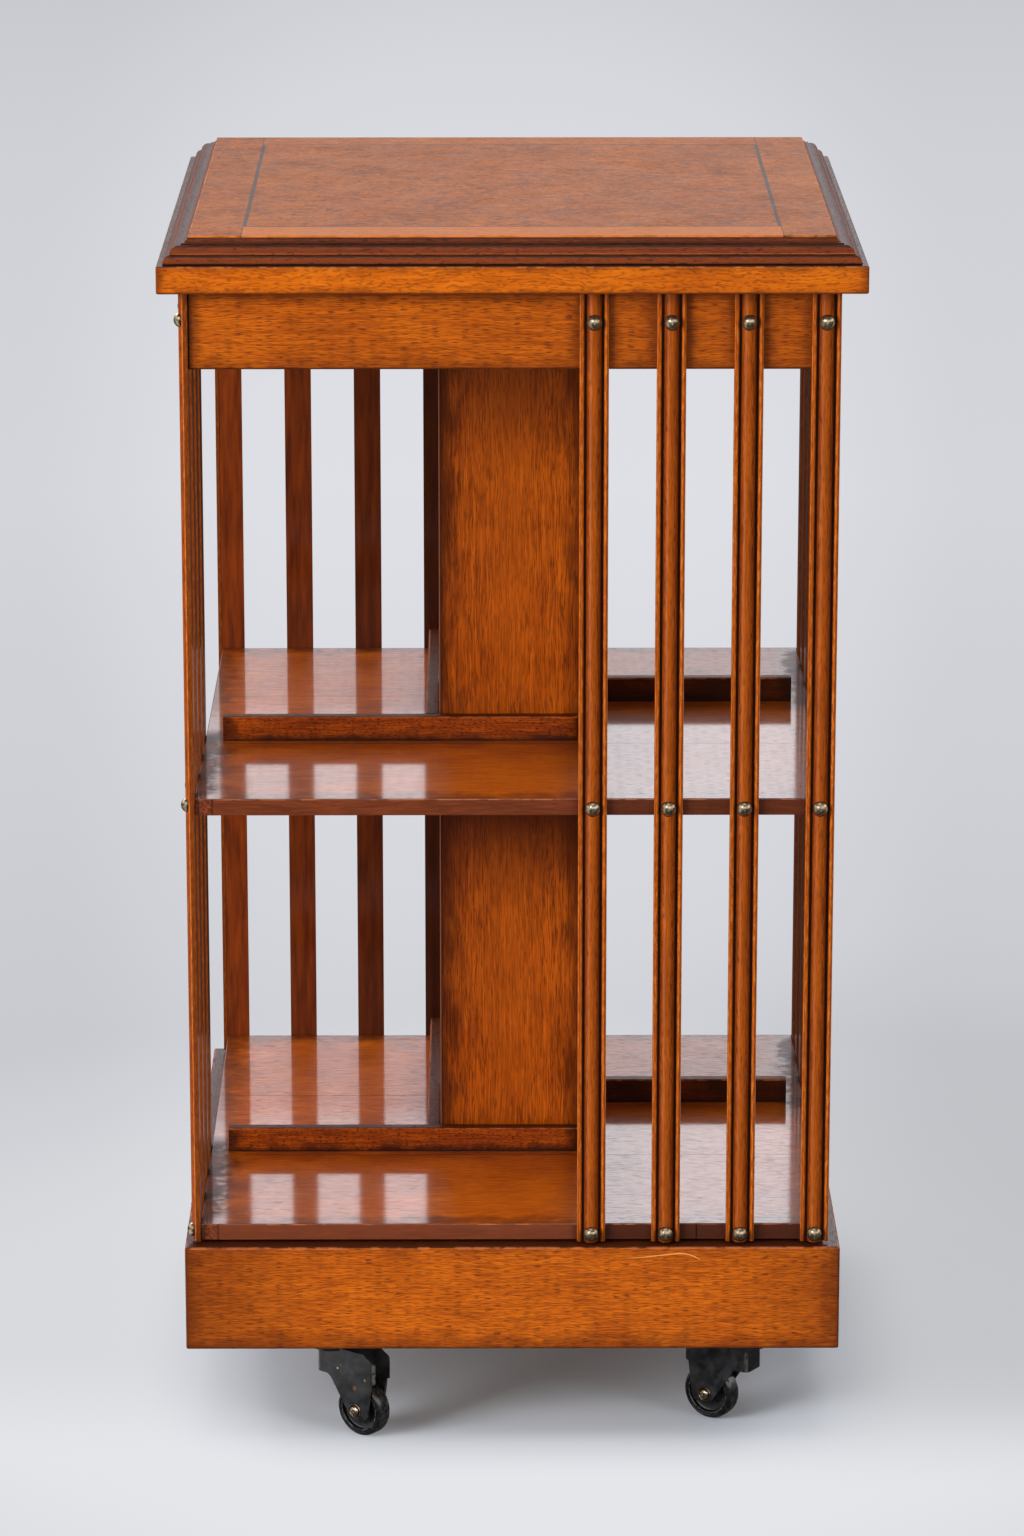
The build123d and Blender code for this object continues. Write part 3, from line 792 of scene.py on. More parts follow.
@dataclass
class Case:
    """The turning case: frieze boards, slats, screws, shelves, stops and column.

    Attributes:
        half: Half the case's width.
        frieze_low: Underside of the frieze.
        frieze_high: Underside of the top board.
        bottom: Underside of the lower shelf's lipping.
        shelf: Thickness of a shelf.
        shelf_half: Half a shelf's width inside its lipping.
        middle: Underside of the middle shelf.
        first_slat: Distance of the first slat's middle from the axis.
        pitch: Distance from one slat to the next.
        column_half: Half the column's width.
    """

    FRIEZE_SHADOW_UNDER_TOP = Tint(CASE_STAIN.glaze, 0.6, 9.0, 0.5)
    FRIEZE_SHADE_LINES = paint(24, 9, 4)
    BEAD_TONES = ((0.36, paint(160, 74, 13)), (0.52, paint(186, 90, 17)), (0.66, paint(210, 114, 34)))
    REED_CROWN_HIGHLIGHT = Tint(REED_STAIN.light, 0.35, 4.0, 0.6)
    REED_FLANK_SHADE = Tint(paint(84, 30, 6), 0.55, 2.4, 4.9)
    REED_GLINT_HIGHLIGHT = Tint(paint(178, 104, 62), 0.3, 1.0, 0.2)
    SLAT_QUIRK_SHADE = Tint(paint(30, 11, 4), 0.92, 1.1, 0.75)
    SLAT_CREASE_SHADE = Tint(REED_STAIN.glaze, 0.5, 0.5, 0.2)
    SLAT_EDGE_SHADE = Tint(REED_STAIN.glaze, 0.7, 9.75, 9.95)
    SLAT_ENDS = Tint(REED_STAIN.glaze, 0.4, 16.0, 0.0)
    BACK_TONES = ((0.35, paint(92, 36, 9)), (0.65, paint(130, 55, 12)))
    BACK_SHADE = paint(34, 13, 6)
    SCREW_RIM = Tint(paint(44, 33, 20), 0.75, 6.6, 5.0)
    SHELF_SIDE_DARK = paint(44, 17, 8)
    SHELF_RIGHT_SHADOW = Tint(paint(70, 34, 18), 0.45, 30.0, 80.0)
    SHELF_COLUMN_SHADE = Tint(SHELF_STAIN.glaze, 0.3, 26.0, 4.0)
    LIPPING_BROWN, LOWER_LIPPING = paint(106, 50, 27), paint(132, 68, 42)
    LIPPING_SLAT_SHADE = paint(62, 28, 17)
    END_GRAIN = ((0.4, paint(66, 26, 12)), (0.62, paint(140, 70, 40)))
    LIPPING_CORNER = Tint(DARK_STAIN.pore, 0.7, 0.7, 0.25)
    LIPPING_JOINT = Tint(paint(20, 9, 6), 0.85, 0.75, 0.3)
    LIPPING_ARRIS = Tint(paint(190, 112, 66), 0.6, 1.3, 0.7)
    STOP_FOOT_SHADOW = Tint(STOP_STAIN.glaze, 0.7, 2.2, 0.3)
    STOP_ARRIS = Tint(paint(196, 106, 52), 0.5, 1.5, 0.5)
    STOP_TOP = paint(30, 12, 7)
    COLUMN_MIDDLE = Tint(COLUMN_STAIN.light, 0.3, 22.0, 60.0)
    # Painted shadow at the top of each tier's column.
    COLUMN_SHADE = {
        Tier.UPPER: Tint(COLUMN_STAIN.glaze, 0.62, 130.0, 0.0),
        Tier.LOWER: Tint(COLUMN_STAIN.glaze, 0.98, 130.0, 20.0),
    }
    COLUMN_EDGE_SHADE = Tint(paint(30, 10, 4), 0.75, 4.0, 0.4)
    COLUMN_ARRIS_GLINT = Tint(paint(150, 96, 70), 0.75, 1.3, 0.7)

    half: float
    frieze_low: float
    frieze_high: float
    bottom: float
    shelf: float
    shelf_half: float
    middle: float
    first_slat: float
    pitch: float
    column_half: float

    @classmethod
    def measured(cls) -> "Case":
        """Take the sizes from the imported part.

        Returns:
            The case.
        """
        frieze = low_high("frieze_right")
        lower = low_high("lower_shelf")
        middle = low_high("middle_shelf")
        slats = [low_high(f"slat_front_{number + 1}") for number in range(SLATS_PER_SIDE)]
        centres = [(low.x + high.x) / 2 for low, high in slats]
        return cls(
            half=frieze[1].x,
            frieze_low=frieze[0].z,
            frieze_high=frieze[1].z,
            bottom=lower[0].z,
            shelf=lower[1].z - lower[0].z,
            shelf_half=middle[1].x,
            middle=middle[0].z,
            first_slat=centres[0],
            pitch=(centres[-1] - centres[0]) / (SLATS_PER_SIDE - 1),
            column_half=low_high("upper_column")[1].x,
        )

    def slat_offset(self, spot: Spot) -> tuple[Sock, Sock]:
        """Find the nearest slat.

        Args:
            spot: The shaded point.

        Returns:
            The distance from that slat's middle line, and its number from 0.
        """
        share = (spot.along - self.first_slat) / self.pitch + 0.5
        number = share.floor().most(0.0).least(SLATS_PER_SIDE - 1.0)
        return spot.along - self.first_slat - number * self.pitch, number

    def dress_frieze(self) -> None:
        """Finish the frieze boards: darker round their edges, painted shade beside and behind the slats,
        painted shadow under the top.
        """
        coat = Coat("frieze_wood", Wood(CASE_STAIN, glaze_reach=13.0, glaze_depth=0.5))
        spot = side_spot(coat.graph)
        grain = spot.grain(613.0)
        coat.draw(grain)
        offset, _ = self.slat_offset(spot)
        # Distance to a slat's side, so that the darkening beside the slats is painted shade.
        beside = (abs(offset) - 10.0).most((30.0 - spot.along) * 0.5) + 1.0
        edge = spot.inside(self.half, self.frieze_low, self.frieze_high).least(beside)
        coat.age(edge, grain)
        # Painted shade behind the slats, over an even darkening of the whole frieze.
        coat.add(CASE_STAIN.glaze, spot.along.smooth(38.0, 48.0) * 0.12 + 0.11)
        drop = self.frieze_high - spot.height
        # Painted shadow under the top board.
        coat.tint(self.FRIEZE_SHADOW_UNDER_TOP, drop)
        # Painted shade lines: under the top board, along the lower edge and at both ends.
        lines = drop.smooth(2.8, 0.8).most((spot.height - self.frieze_low).smooth(1.8, 0.8) * 0.75)
        lines = lines.most((self.half - abs(spot.along)).smooth(1.6, 0.8))
        coat.add(self.FRIEZE_SHADE_LINES, lines * 0.9)
        coat.put_on(*[f"frieze_{side.value}" for side in Side])

    def dress_slats(self) -> None:
        """Finish the slats: pale beads, a glossy reed with painted highlight and shade, painted shade in the
        hollows, a dark back.
        """
        reed = Wood(REED_STAIN, curl=1.2, streak=22.0, sheen=0.08, polish=0.3, relief=0.03)
        coat = Coat("slat_wood", reed)
        spot = side_spot(coat.graph)
        offset, number = self.slat_offset(spot)
        grain = Point(spot.height + (spot.board * 4.0 + number) * 377.0, offset, spot.out)
        coat.draw(grain)
        aside = abs(offset)
        beads = grain.noise((6.25, 10 / 9, 10 / 9), 2.0).ramp(self.BEAD_TONES)
        coat.add(beads, aside.smooth(6.5, 6.9) * 0.9)
        # Painted highlight on the reed's crown, painted shade on its flanks.
        coat.tint(self.REED_CROWN_HIGHLIGHT, aside)
        coat.tint(self.REED_FLANK_SHADE, aside, aside.smooth(6.7, 6.3))
        # A painted highlight just left of the reed's middle.
        coat.tint(self.REED_GLINT_HIGHLIGHT, abs(offset + 2.1))
        # Painted shade in the quirks, in the crease on each bead and on the slat's outer edges.
        coat.tint(self.SLAT_QUIRK_SHADE, abs(aside - 5.9))
        coat.tint(self.SLAT_CREASE_SHADE, abs(aside - 8.9))
        coat.tint(self.SLAT_EDGE_SHADE, aside)
        backing = grain.noise((50.0, 5.0, 5.0), 2.0).ramp(self.BACK_TONES)
        # Painted shade on the darker backs, deepening towards the column.
        backing = backing.toward(self.BACK_SHADE, (3.0 - number) * 0.3)
        coat.add(backing, (spot.out - self.half).smooth(0.5, 0.15))
        ends = (spot.height - self.bottom).least(self.frieze_high - spot.height)
        coat.tint(self.SLAT_ENDS, ends)
        places = range(1, SLATS_PER_SIDE + 1)
        coat.put_on(*[f"slat_{side.value}_{place}" for side in Side for place in places])

    def dress_screws(self) -> None:
        """Finish the domed screws: worn brass domes, dark round their rims."""
        coat = Coat("aged_brass", AGED_BRASS)
        coat.draw(coat.graph.place())
        coat.tint(self.SCREW_RIM, side_spot(coat.graph).out - self.half)
        coat.put_on("slat_screws")

    def dress_shelf(self, node: str) -> None:
        """Finish a shelf's boards or the lipping, each board of its own grain, with painted shadow and
        painted shade.

        Args:
            node: The node.
        """
        coat = Coat(f"polished_{node}", Wood(
            SHELF_STAIN, curl=3.0, streak=20.0, pore_depth=0.35, glaze_reach=26.0, glaze_depth=0.7,
            roughness=0.4, sheen=0.05, polish=1.0, polish_blur=0.085, relief=0.03,
        ))
        point = coat.graph.place()
        x, y, z = point.x, point.y, point.z
        board = 2 * self.shelf_half / BOARDS_PER_SHELF
        number = ((y + self.shelf_half) / board).floor().most(0.0).least(BOARDS_PER_SHELF - 1.0)
        on_middle = z.smooth(self.middle - 60.0, self.middle - 50.0)
        along = x + number * 411.0 + on_middle * 173.0
        coat.draw(Point(along, y + on_middle * 57.0, z))
        from_axis = abs(x).most(abs(y))
        edge = self.half - from_axis
        coat.age(edge, Point(along, y, z))
        # Darker, unevenly, near the left and right edges beside the slats, where the polish is dulled too.
        side_dark = (edge + point.sway(9.0, 2.0) * 34.0).smooth(24.0, 6.0)
        side_dark = side_dark * side_spot(coat.graph).along.smooth(20.0, 50.0)
        side_dark = side_dark * (abs(x) - abs(y)).smooth(-10.0, 15.0)
        coat.add(self.SHELF_SIDE_DARK, side_dark * 0.7)
        # Painted shadow over the right part of each shelf.
        coat.tint(self.SHELF_RIGHT_SHADOW, x)
        # Painted shade round the foot of the column.
        coat.tint(self.SHELF_COLUMN_SHADE, from_axis - self.column_half)
        if node == "shelf_lipping":
            self.colour_edge(coat)
        else:
            joint = y + self.shelf_half - number * board
            seam = abs(joint).least(abs(joint - board)).smooth(0.8, 0.25)
            coat.add(SHELF_STAIN.glaze, seam * 0.85)
            coat.marks = coat.marks.most(seam)
        coat.put_on(node, dulled=(y.smooth(-20.0, 60.0) * 0.45).most(side_dark * 0.8))

    def colour_edge(self, coat: Coat) -> None:
        """Give the lipping its dark edge under the polished upper face.

        Args:
            coat: The lipping's finish, with the upper face drawn all over it.
        """
        face, face_pores = coat.colour, coat.marks
        dark = Wood(DARK_STAIN, streak=18.0, pore_length=9.0, pore_width=0.9, pore_depth=0.3)
        lipping_width, joint_place = 12.2, 130.0
        spot = side_spot(coat.graph)
        grain = spot.grain(299.0)
        coat.colour, coat.marks = dark.figure(Point(grain.x, spot.height * 0.7, spot.out))
        on_lower = spot.height.smooth(self.middle - 60.0, self.middle - 120.0)
        coat.add(self.LIPPING_BROWN, 0.5)
        coat.add(self.LOWER_LIPPING, on_lower * 0.4)
        # Painted shade on the lipping behind the slats, deeper on the lower shelf.
        slat_shade = spot.along.smooth(38.0, 50.0) * (0.5 + on_lower * 0.32)
        coat.add(self.LIPPING_SLAT_SHADE, slat_shade)
        from_end = spot.along + self.half
        end_grain = Point(spot.along, spot.height, spot.out).noise(1.6, 1.0).ramp(self.END_GRAIN)
        coat.add(end_grain, from_end.smooth(12.6, 12.1) * 0.55)
        coat.tint(self.LIPPING_CORNER, abs(from_end - lipping_width))
        coat.tint(self.LIPPING_JOINT, abs(spot.along - joint_place), spot.front() * on_lower)
        tops = [abs(spot.height - low - self.shelf) for low in (self.bottom, self.middle)]
        from_top = tops[0].least(tops[1])
        worn = grain.noise((10.0, 3.0, 3.0), 2.0).smooth(0.45, 0.62)
        coat.tint(self.LIPPING_ARRIS, from_top, worn)
        on_face = from_top.smooth(0.5, 0.15)
        coat.add(face, on_face)
        coat.marks = coat.marks + (face_pores - coat.marks) * on_face

    def dress_stops(self, tier: Tier) -> None:
        """Finish a tier's book stops, mottled across the grain and dark at the ends, with painted shade at
        the foot and inner faces.

        Args:
            tier: The tier.
        """
        node = f"book_stops_{tier.value}"
        low, high = low_high(node)
        coat = Coat(f"stop_wood_{tier.value}", Wood(
            STOP_STAIN, curl=1.6, pore_length=3.0, glaze_reach=15.0, glaze_depth=0.85,
            sheen=0.08, polish=0.15,
        ))
        middle_line = self.column_half + 4.75
        spot = stop_spot(coat.graph, middle_line)
        grain = Point(spot.along + spot.board * 331.0 + low.z, spot.height, spot.out)
        coat.draw(grain)
        curls = grain.noise((2.4, 16.0, 16.0), 2.0).smooth(0.52, 0.68)
        coat.add(STOP_STAIN.deep, curls * 0.4)
        # Dust and painted shade, patchy, on the faces towards the column.
        inner = (spot.out - middle_line).smooth(-4.3, -4.6)
        shade = inner * grain.noise((60.0, 30.0, 30.0)).smooth(0.7, 0.35)
        coat.add(STOP_STAIN.glaze, shade * 0.3 + inner * 0.65)
        rise = spot.height - low.z
        # Painted shadow along the foot.
        coat.tint(self.STOP_FOOT_SHADOW, rise)
        ends = (high.x - abs(spot.along)).least(spot.along + self.column_half)
        # Aged glaze at the ends and painted shade along the foot.
        coat.age(ends.least(rise * 2.0), grain)
        drop = high.z - spot.height
        worn = grain.noise((8.0, 3.0, 3.0), 2.0).smooth(0.42, 0.6)
        coat.tint(self.STOP_ARRIS, drop, worn)
        upper = drop.smooth(0.35, 0.1)
        coat.add(self.STOP_TOP, upper * 0.8)
        coat.put_on(node, dulled=upper.most(inner))

    def dress_column(self, tier: Tier) -> None:
        """Finish a tier's column boards: upright curly grain, glazed dark towards the edges, with painted
        shadow, shade and glint.

        Args:
            tier: The tier.
        """
        node = f"{tier.value}_column"
        low, high = low_high(node)
        coat = Coat(f"column_wood_{tier.value}", Wood(
            COLUMN_STAIN, curl=0.9, streak=34.0, pore_length=9.0, pore_depth=0.6, glaze_reach=22.0,
            glaze_depth=0.75,
        ))
        spot = side_spot(coat.graph)
        rise = spot.height + spot.board * 467.0
        coat.draw(Point(rise, spot.along, spot.out))
        edge = spot.inside(self.column_half, low.z, high.z)
        coat.age(edge, Point(rise * 0.4, spot.along, spot.out))
        coat.tint(self.COLUMN_MIDDLE, edge)
        above = self.frieze_low if tier is Tier.UPPER else self.middle
        # Painted shadow under the frieze or the middle shelf above.
        coat.tint(self.COLUMN_SHADE[tier], above - spot.height)
        # Painted shade lines along every edge.
        coat.tint(self.COLUMN_EDGE_SHADE, edge)
        # A painted glint along the left arris.
        coat.tint(self.COLUMN_ARRIS_GLINT, spot.along + self.column_half)
        coat.put_on(node)


@dataclass
class BaseBox:
    """The low box that stands still: its boards, deck, bearers and blocks.

    Attributes:
        half: Half the box's width.
        low: Its lower edge.
        high: Its upper edge.
    """

    ENDS = Tint(CASE_STAIN.glaze, 0.3, 95.0, 5.0)
    LEFT_END = Tint(CASE_STAIN.glaze, 0.25, -100.0, -220.0)
    RIM = Tint(paint(48, 18, 6), 0.6, 2.6, 0.5)
    UPPER_FACE_SHADE = Tint(paint(56, 24, 11), 0.9, -0.8, -0.2)
    RUBBED = paint(196, 106, 62)
    SCRATCHED = paint(240, 170, 96)
    DUST = Tint(INNER_STAIN.glaze, 0.35, 0.35, 0.7)

    half: float
    low: float
    high: float

    @classmethod
    def measured(cls) -> "BaseBox":
        """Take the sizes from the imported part."""
        low, high = low_high("plinth_right")
        return cls(half=high.x, low=low.z, high=high.z)

    def scratch(self, spot: Spot) -> Sock:
        """Draw the one pale scratch high on the front: a slow rise with a hook at its right end.

        Args:
            spot: The shaded point.

        Returns:
            One on the scratch, nothing elsewhere.
        """
        start, length, level, rise, crest, hook = 74.0, 58.0, 9.3, 6.3, 0.72, 75.0
        share = (spot.along - start) / length
        bend = (share - crest).most(0.0)
        curve = share * rise - bend * bend * hook
        miss = abs(self.high - spot.height - level + curve)
        span = share.smooth(0.0, 0.5) * share.smooth(1.02, 0.98)
        return miss.smooth(0.6, 0.2) * span * spot.front()

    def dress_boards(self) -> None:
        """Finish the four boards: curly grain, dark ends, painted shade on the upper face, a rubbed upper
        arris.
        """
        coat = Coat("base_wood", Wood(CASE_STAIN, curl=2.2, streak=18.0, glaze_reach=17.0, glaze_depth=0.55))
        spot = side_spot(coat.graph)
        grain = spot.grain(853.0)
        coat.draw(grain)
        coat.age(spot.inside(self.half, self.low, self.high + 8.0), grain)
        ends = self.half - abs(spot.along)
        coat.tint(self.ENDS, ends)
        coat.tint(self.LEFT_END, spot.along)
        coat.tint(self.RIM, ends.least(spot.height - self.low))
        rise = spot.height - self.high
        # Painted shade on the upper face, in the gap under the turning case.
        coat.tint(self.UPPER_FACE_SHADE, rise)
        arris = (spot.out - self.half).smooth(-2.0, -0.9) * rise.smooth(-1.9, -0.9)
        worn = grain.noise(9.0, 2.0).smooth(0.4, 0.6)
        rub = arris.most(ends.smooth(1.2, 0.5) * 0.3) * worn
        coat.add(self.RUBBED, rub * 0.6)
        coat.add(self.SCRATCHED, self.scratch(spot) * 0.8)
        coat.put_on(*[f"plinth_{side.value}" for side in Side])

    def dress_inside(self) -> None:
        """Finish the deck, bearers and blocks that nobody polished."""
        coat = Coat("inner_wood", Wood(INNER_STAIN, pore_from=0.6, roughness=0.7, polish=0.0, relief=0.08))
        point = coat.graph.place()
        coat.draw(point)
        coat.tint(self.DUST, point.noise(50.0, 3.0))
        coat.put_on("base_deck", "castor_bearers", "corner_blocks")


@dataclass(frozen=True)
class Scuff:
    """A worn mark on a castor's outer cheek.

    Attributes:
        along: Its place along the trail, in millimetres.
        up: Its height above the floor.
        size: How far it reaches.
        colour: Its colour.
    """

    along: float
    up: float
    size: float
    colour: Rgb

    def mark(self, coat: Coat, point: Point, where: Sock) -> None:
        """Lay the mark over the fork's finish, with an edge as uneven as its mottling.

        Args:
            coat: The fork's finish.
            point: The shaded point, along the trail, across and up.
            where: One on the outer cheek.
        """
        miss = radius(Point(point.x - self.along, point.y, point.z - self.up))
        miss = miss + (coat.marks - 0.5) * self.size * 3.0
        coat.add(self.colour, miss.smooth(self.size, self.size * 0.5) * where * 0.85)


def radius(point: Point) -> Sock:
    """Distance from the line along y."""
    return (point.x * point.x + point.z * point.z) ** 0.5


FRONT_LEFT_SCUFFS = (
    Scuff(12.0, 49.0, 1.3, paint(190, 160, 110)),
    Scuff(14.5, 51.5, 0.8, paint(170, 140, 90)),
    Scuff(28.0, 37.0, 2.0, paint(96, 62, 40)),
    Scuff(37.0, 45.0, 1.0, paint(120, 92, 62)),
)


@dataclass
class Castor:
    """One swivel castor, in its own frame: along its trail, across, and up.

    Attributes:
        name: Its place under the base.
        kingpin: Where its kingpin stands, in metres.
        axle: Middle of its axle, in metres.
        heading: Direction of its trail, in radians.
        scuffs: Worn marks on its outer cheek.
        spokes: Steps round a turned piece.
    """

    CHEEK_FACE = 9.9
    CUT_EDGE = Tint(paint(132, 120, 106), 0.35, 0.36, 0.6)
    FORK_DUST = Tint(paint(84, 78, 72), 0.16, 0.45, 0.75)
    TREAD_DUST = Tint(paint(74, 71, 67), 0.5, 18.8, 19.8)
    RIM_DUST = Tint(paint(110, 108, 104), 0.5, 0.6, 0.2)
    DISH_DUST = Tint(paint(52, 50, 48), 0.25, 4.6, 2.0)
    DOME = Tint(paint(226, 218, 206), 0.35, 3.7, 3.4)
    GROOVE = paint(24, 17, 12)
    WHEEL_SIDE = (
        (7.6, 2.6), (7.6, 5.6), (7.2, 6.1), (3.6, 6.5), (3.0, 7.1), (2.8, 9.5), (3.0, 13.6),
        (3.5, 14.4), (5.9, 14.9), (6.3, 15.3), (6.3, 15.8), (5.7, 16.1), (5.7, 16.5), (6.3, 16.9),
        (6.45, 17.3), (6.2, 18.2), (5.5, 19.1), (4.5, 19.7), (3.3, 19.95), (1.6, 20.0), (0.0, 20.0),
    )
    AXLE_END = (
        (0.0, 4.7), (0.25, 5.1), (0.6, 5.2), (0.88, 4.95), (0.88, 4.6), (0.6, 4.3), (0.3, 4.05),
        (0.3, 3.6), (0.9, 3.5), (1.6, 3.05), (2.15, 2.3), (2.42, 1.5), (2.4, 1.05), (1.9, 0.7), (1.75, 0.0),
    )
    AXLE_RADIUS = 2.45

    name: str
    kingpin: Vector
    axle: Vector
    heading: float
    scuffs: tuple[Scuff, ...] = ()
    spokes: int = 96

    @classmethod
    def found(cls) -> list["Castor"]:
        """Read every castor's place and heading from the part's joints.

        Returns:
            The castors.
        """
        joints = {joint["name"]: Vector(joint["pos_m"]) for joint in frame["joints"]}
        castors = []
        for joint in [name for name in joints if name.startswith("roll_")]:
            name = joint.removeprefix("roll_")
            kingpin, axle = joints[f"swivel_{name}"], joints[joint]
            trail = axle - kingpin
            scuffs = FRONT_LEFT_SCUFFS if name == "front_left" else ()
            castors.append(cls(name, kingpin, axle, math.atan2(trail.y, trail.x), scuffs))
        return castors

    def dress_fork(self) -> None:
        """Finish the pressed fork: black japan, bare where its cut edges rub."""
        coat = Coat(f"black_steel_{self.name}", FORK_BLACK)
        point = coat.draw(coat.graph.place((self.kingpin.x, self.kingpin.y, 0.0), self.heading))
        cut = abs(abs(point.y) - self.CHEEK_FACE + 1.0).smooth(0.95, 0.6)
        below_hood = point.z.smooth(60.0, 56.0)
        coat.tint(self.CUT_EDGE, point.noise(2.6, 2.0), cut * below_hood)
        coat.tint(self.FORK_DUST, point.noise(11.0, 3.0))
        outer_cheek = (0.0 - point.y).smooth(self.CHEEK_FACE - 0.6, self.CHEEK_FACE - 0.2)
        for scuff in self.scuffs:
            scuff.mark(coat, point, outer_cheek)
        coat.put_on(f"castor_fork_{self.name}")

    def turned_piece(self, name: str, outline: Sequence[tuple[float, float]]) -> bpy.types.Object:
        """Spin an outline about the axle.

        Args:
            name: The piece's name.
            outline: Points from one side to the other: offset across and radius, in millimetres.

        Returns:
            The object, with its place in its mesh.
        """
        shape = bmesh.new()
        points = [shape.verts.new((distance / MM, offset / MM, 0.0)) for offset, distance in outline]
        for first, second in zip(points, points[1:]):
            shape.edges.new((first, second))
        bmesh.ops.spin(
            shape,
            geom=shape.verts[:] + shape.edges[:],
            cent=(0.0, 0.0, 0.0),
            axis=(0.0, 1.0, 0.0),
            angle=2 * math.pi,
            steps=self.spokes,
            use_merge=True,
        )
        bmesh.ops.remove_doubles(shape, verts=shape.verts[:], dist=1e-7)
        bmesh.ops.recalc_face_normals(shape, faces=shape.faces[:])
        turn = Matrix.Translation(self.axle) @ Matrix.Rotation(self.heading, 4, "Z")
        bmesh.ops.transform(shape, matrix=turn, verts=shape.verts[:])
        mesh = bpy.data.meshes.new(name)
        shape.to_mesh(mesh)
        shape.free()
        mesh.shade_smooth()
        mesh.set_sharp_from_angle(angle=math.radians(32))
        piece = bpy.data.objects.new(name, mesh)
        bpy.context.scene.collection.objects.link(piece)
        return piece

    def build_wheel(self) -> None:
        """Model the moulded wheel: round tread, raised rim line, dished face and hub."""
        side = list(self.WHEEL_SIDE)
        outline = side + [(-offset, distance) for offset, distance in reversed(side[:-1])]
        wheel = self.turned_piece(f"moulded_wheel_{self.name}", outline + [side[0]])
        coat = Coat(f"tyre_black_{self.name}", TYRE_BLACK)
        point = coat.draw(coat.graph.place(tuple(self.axle), self.heading))
        from_axle = radius(point)
        dust = point.noise(3.0, 3.0).smooth(0.35, 0.7)
        coat.tint(self.TREAD_DUST, from_axle, dust)
        coat.tint(self.RIM_DUST, abs(from_axle - 15.5), dust)
        coat.tint(self.DISH_DUST, abs(from_axle - 10.0), dust)
        wheel.data.materials.append(coat.close())
        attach(wheel, f"wheel_{self.name}")
        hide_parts(f"castor_wheel_{self.name}")
        LOG.info("%s built", wheel.name)

    def build_axle(self) -> None:
        """Model the riveted axle: a rolled washer and a dimpled dome at each end."""
        end = [(0.0, self.AXLE_RADIUS), (self.CHEEK_FACE - 0.02, self.AXLE_RADIUS)]
        end += [(self.CHEEK_FACE + offset, distance) for offset, distance in self.AXLE_END]
        outline = [(-offset, distance) for offset, distance in reversed(end)] + end[1:]
        axle = self.turned_piece(f"riveted_axle_{self.name}", outline)
        coat = Coat(f"axle_steel_{self.name}", RIVET_STEEL)
        point = coat.draw(coat.graph.place(tuple(self.axle), self.heading))
        from_axle = radius(point)
        coat.tint(self.DOME, from_axle)
        groove = abs(from_axle - 3.9).smooth(0.6, 0.25).most(from_axle.smooth(1.1, 0.6))
        coat.add(self.GROOVE, groove * 0.85)
        axle.data.materials.append(coat.close())
        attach(axle, f"swivel_{self.name}")
        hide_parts(f"castor_axle_{self.name}")
        LOG.info("%s built", axle.name)


@dataclass
class Ironwork:
    """The spindle and the other metal inside the case and the base."""

    def dress(self) -> None:
        """Finish the steel, the brass and the castor plates."""
        steel = ("spindle", "spindle_flange", "pivot_plate", "pivot_screws", "base_screws")
        for name, metal, nodes in (
            ("bare_steel", BARE_STEEL, steel),
            ("bush_brass", BUSH_BRASS, ("lower_bush", "thrust_washer")),
            ("black_plate_steel", JAPANNED, ("castor_plates",)),
        ):
            coat = Coat(name, metal)
            coat.draw(coat.graph.place())
            coat.put_on(*nodes)


@dataclass(frozen=True)
class Lamp:
    """One soft lamp that faces the middle of the bookcase.

    Attributes:
        name: Its name.
        place: Where it hangs, in metres.
        size: Its width and height.
        power: Its power in watts.
        mirrored: Whether the polish mirrors it.
        spreading: Whether it lights matt surfaces.
    """

    AIM = (0.0, 0.0, 0.45)

    name: str
    place: Triple
    size: tuple[float, float]
    power: float
    mirrored: bool = True
    spreading: bool = True

    def hang(self) -> None:
        """Put the lamp in the scene."""
        light = bpy.data.lights.new(self.name, "AREA")
        light.shape = "RECTANGLE"
        light.size, light.size_y = self.size
        light.energy = self.power
        lamp = bpy.data.objects.new(self.name, light)
        lamp.location = self.place
        lamp.rotation_euler = (Vector(self.AIM) - Vector(self.place)).to_track_quat("-Z", "Y").to_euler()
        lamp.visible_camera = False
        lamp.visible_glossy = self.mirrored
        lamp.visible_diffuse = self.spreading
        bpy.context.scene.collection.objects.link(lamp)
        LOG.info("lamp %s hung", self.name)


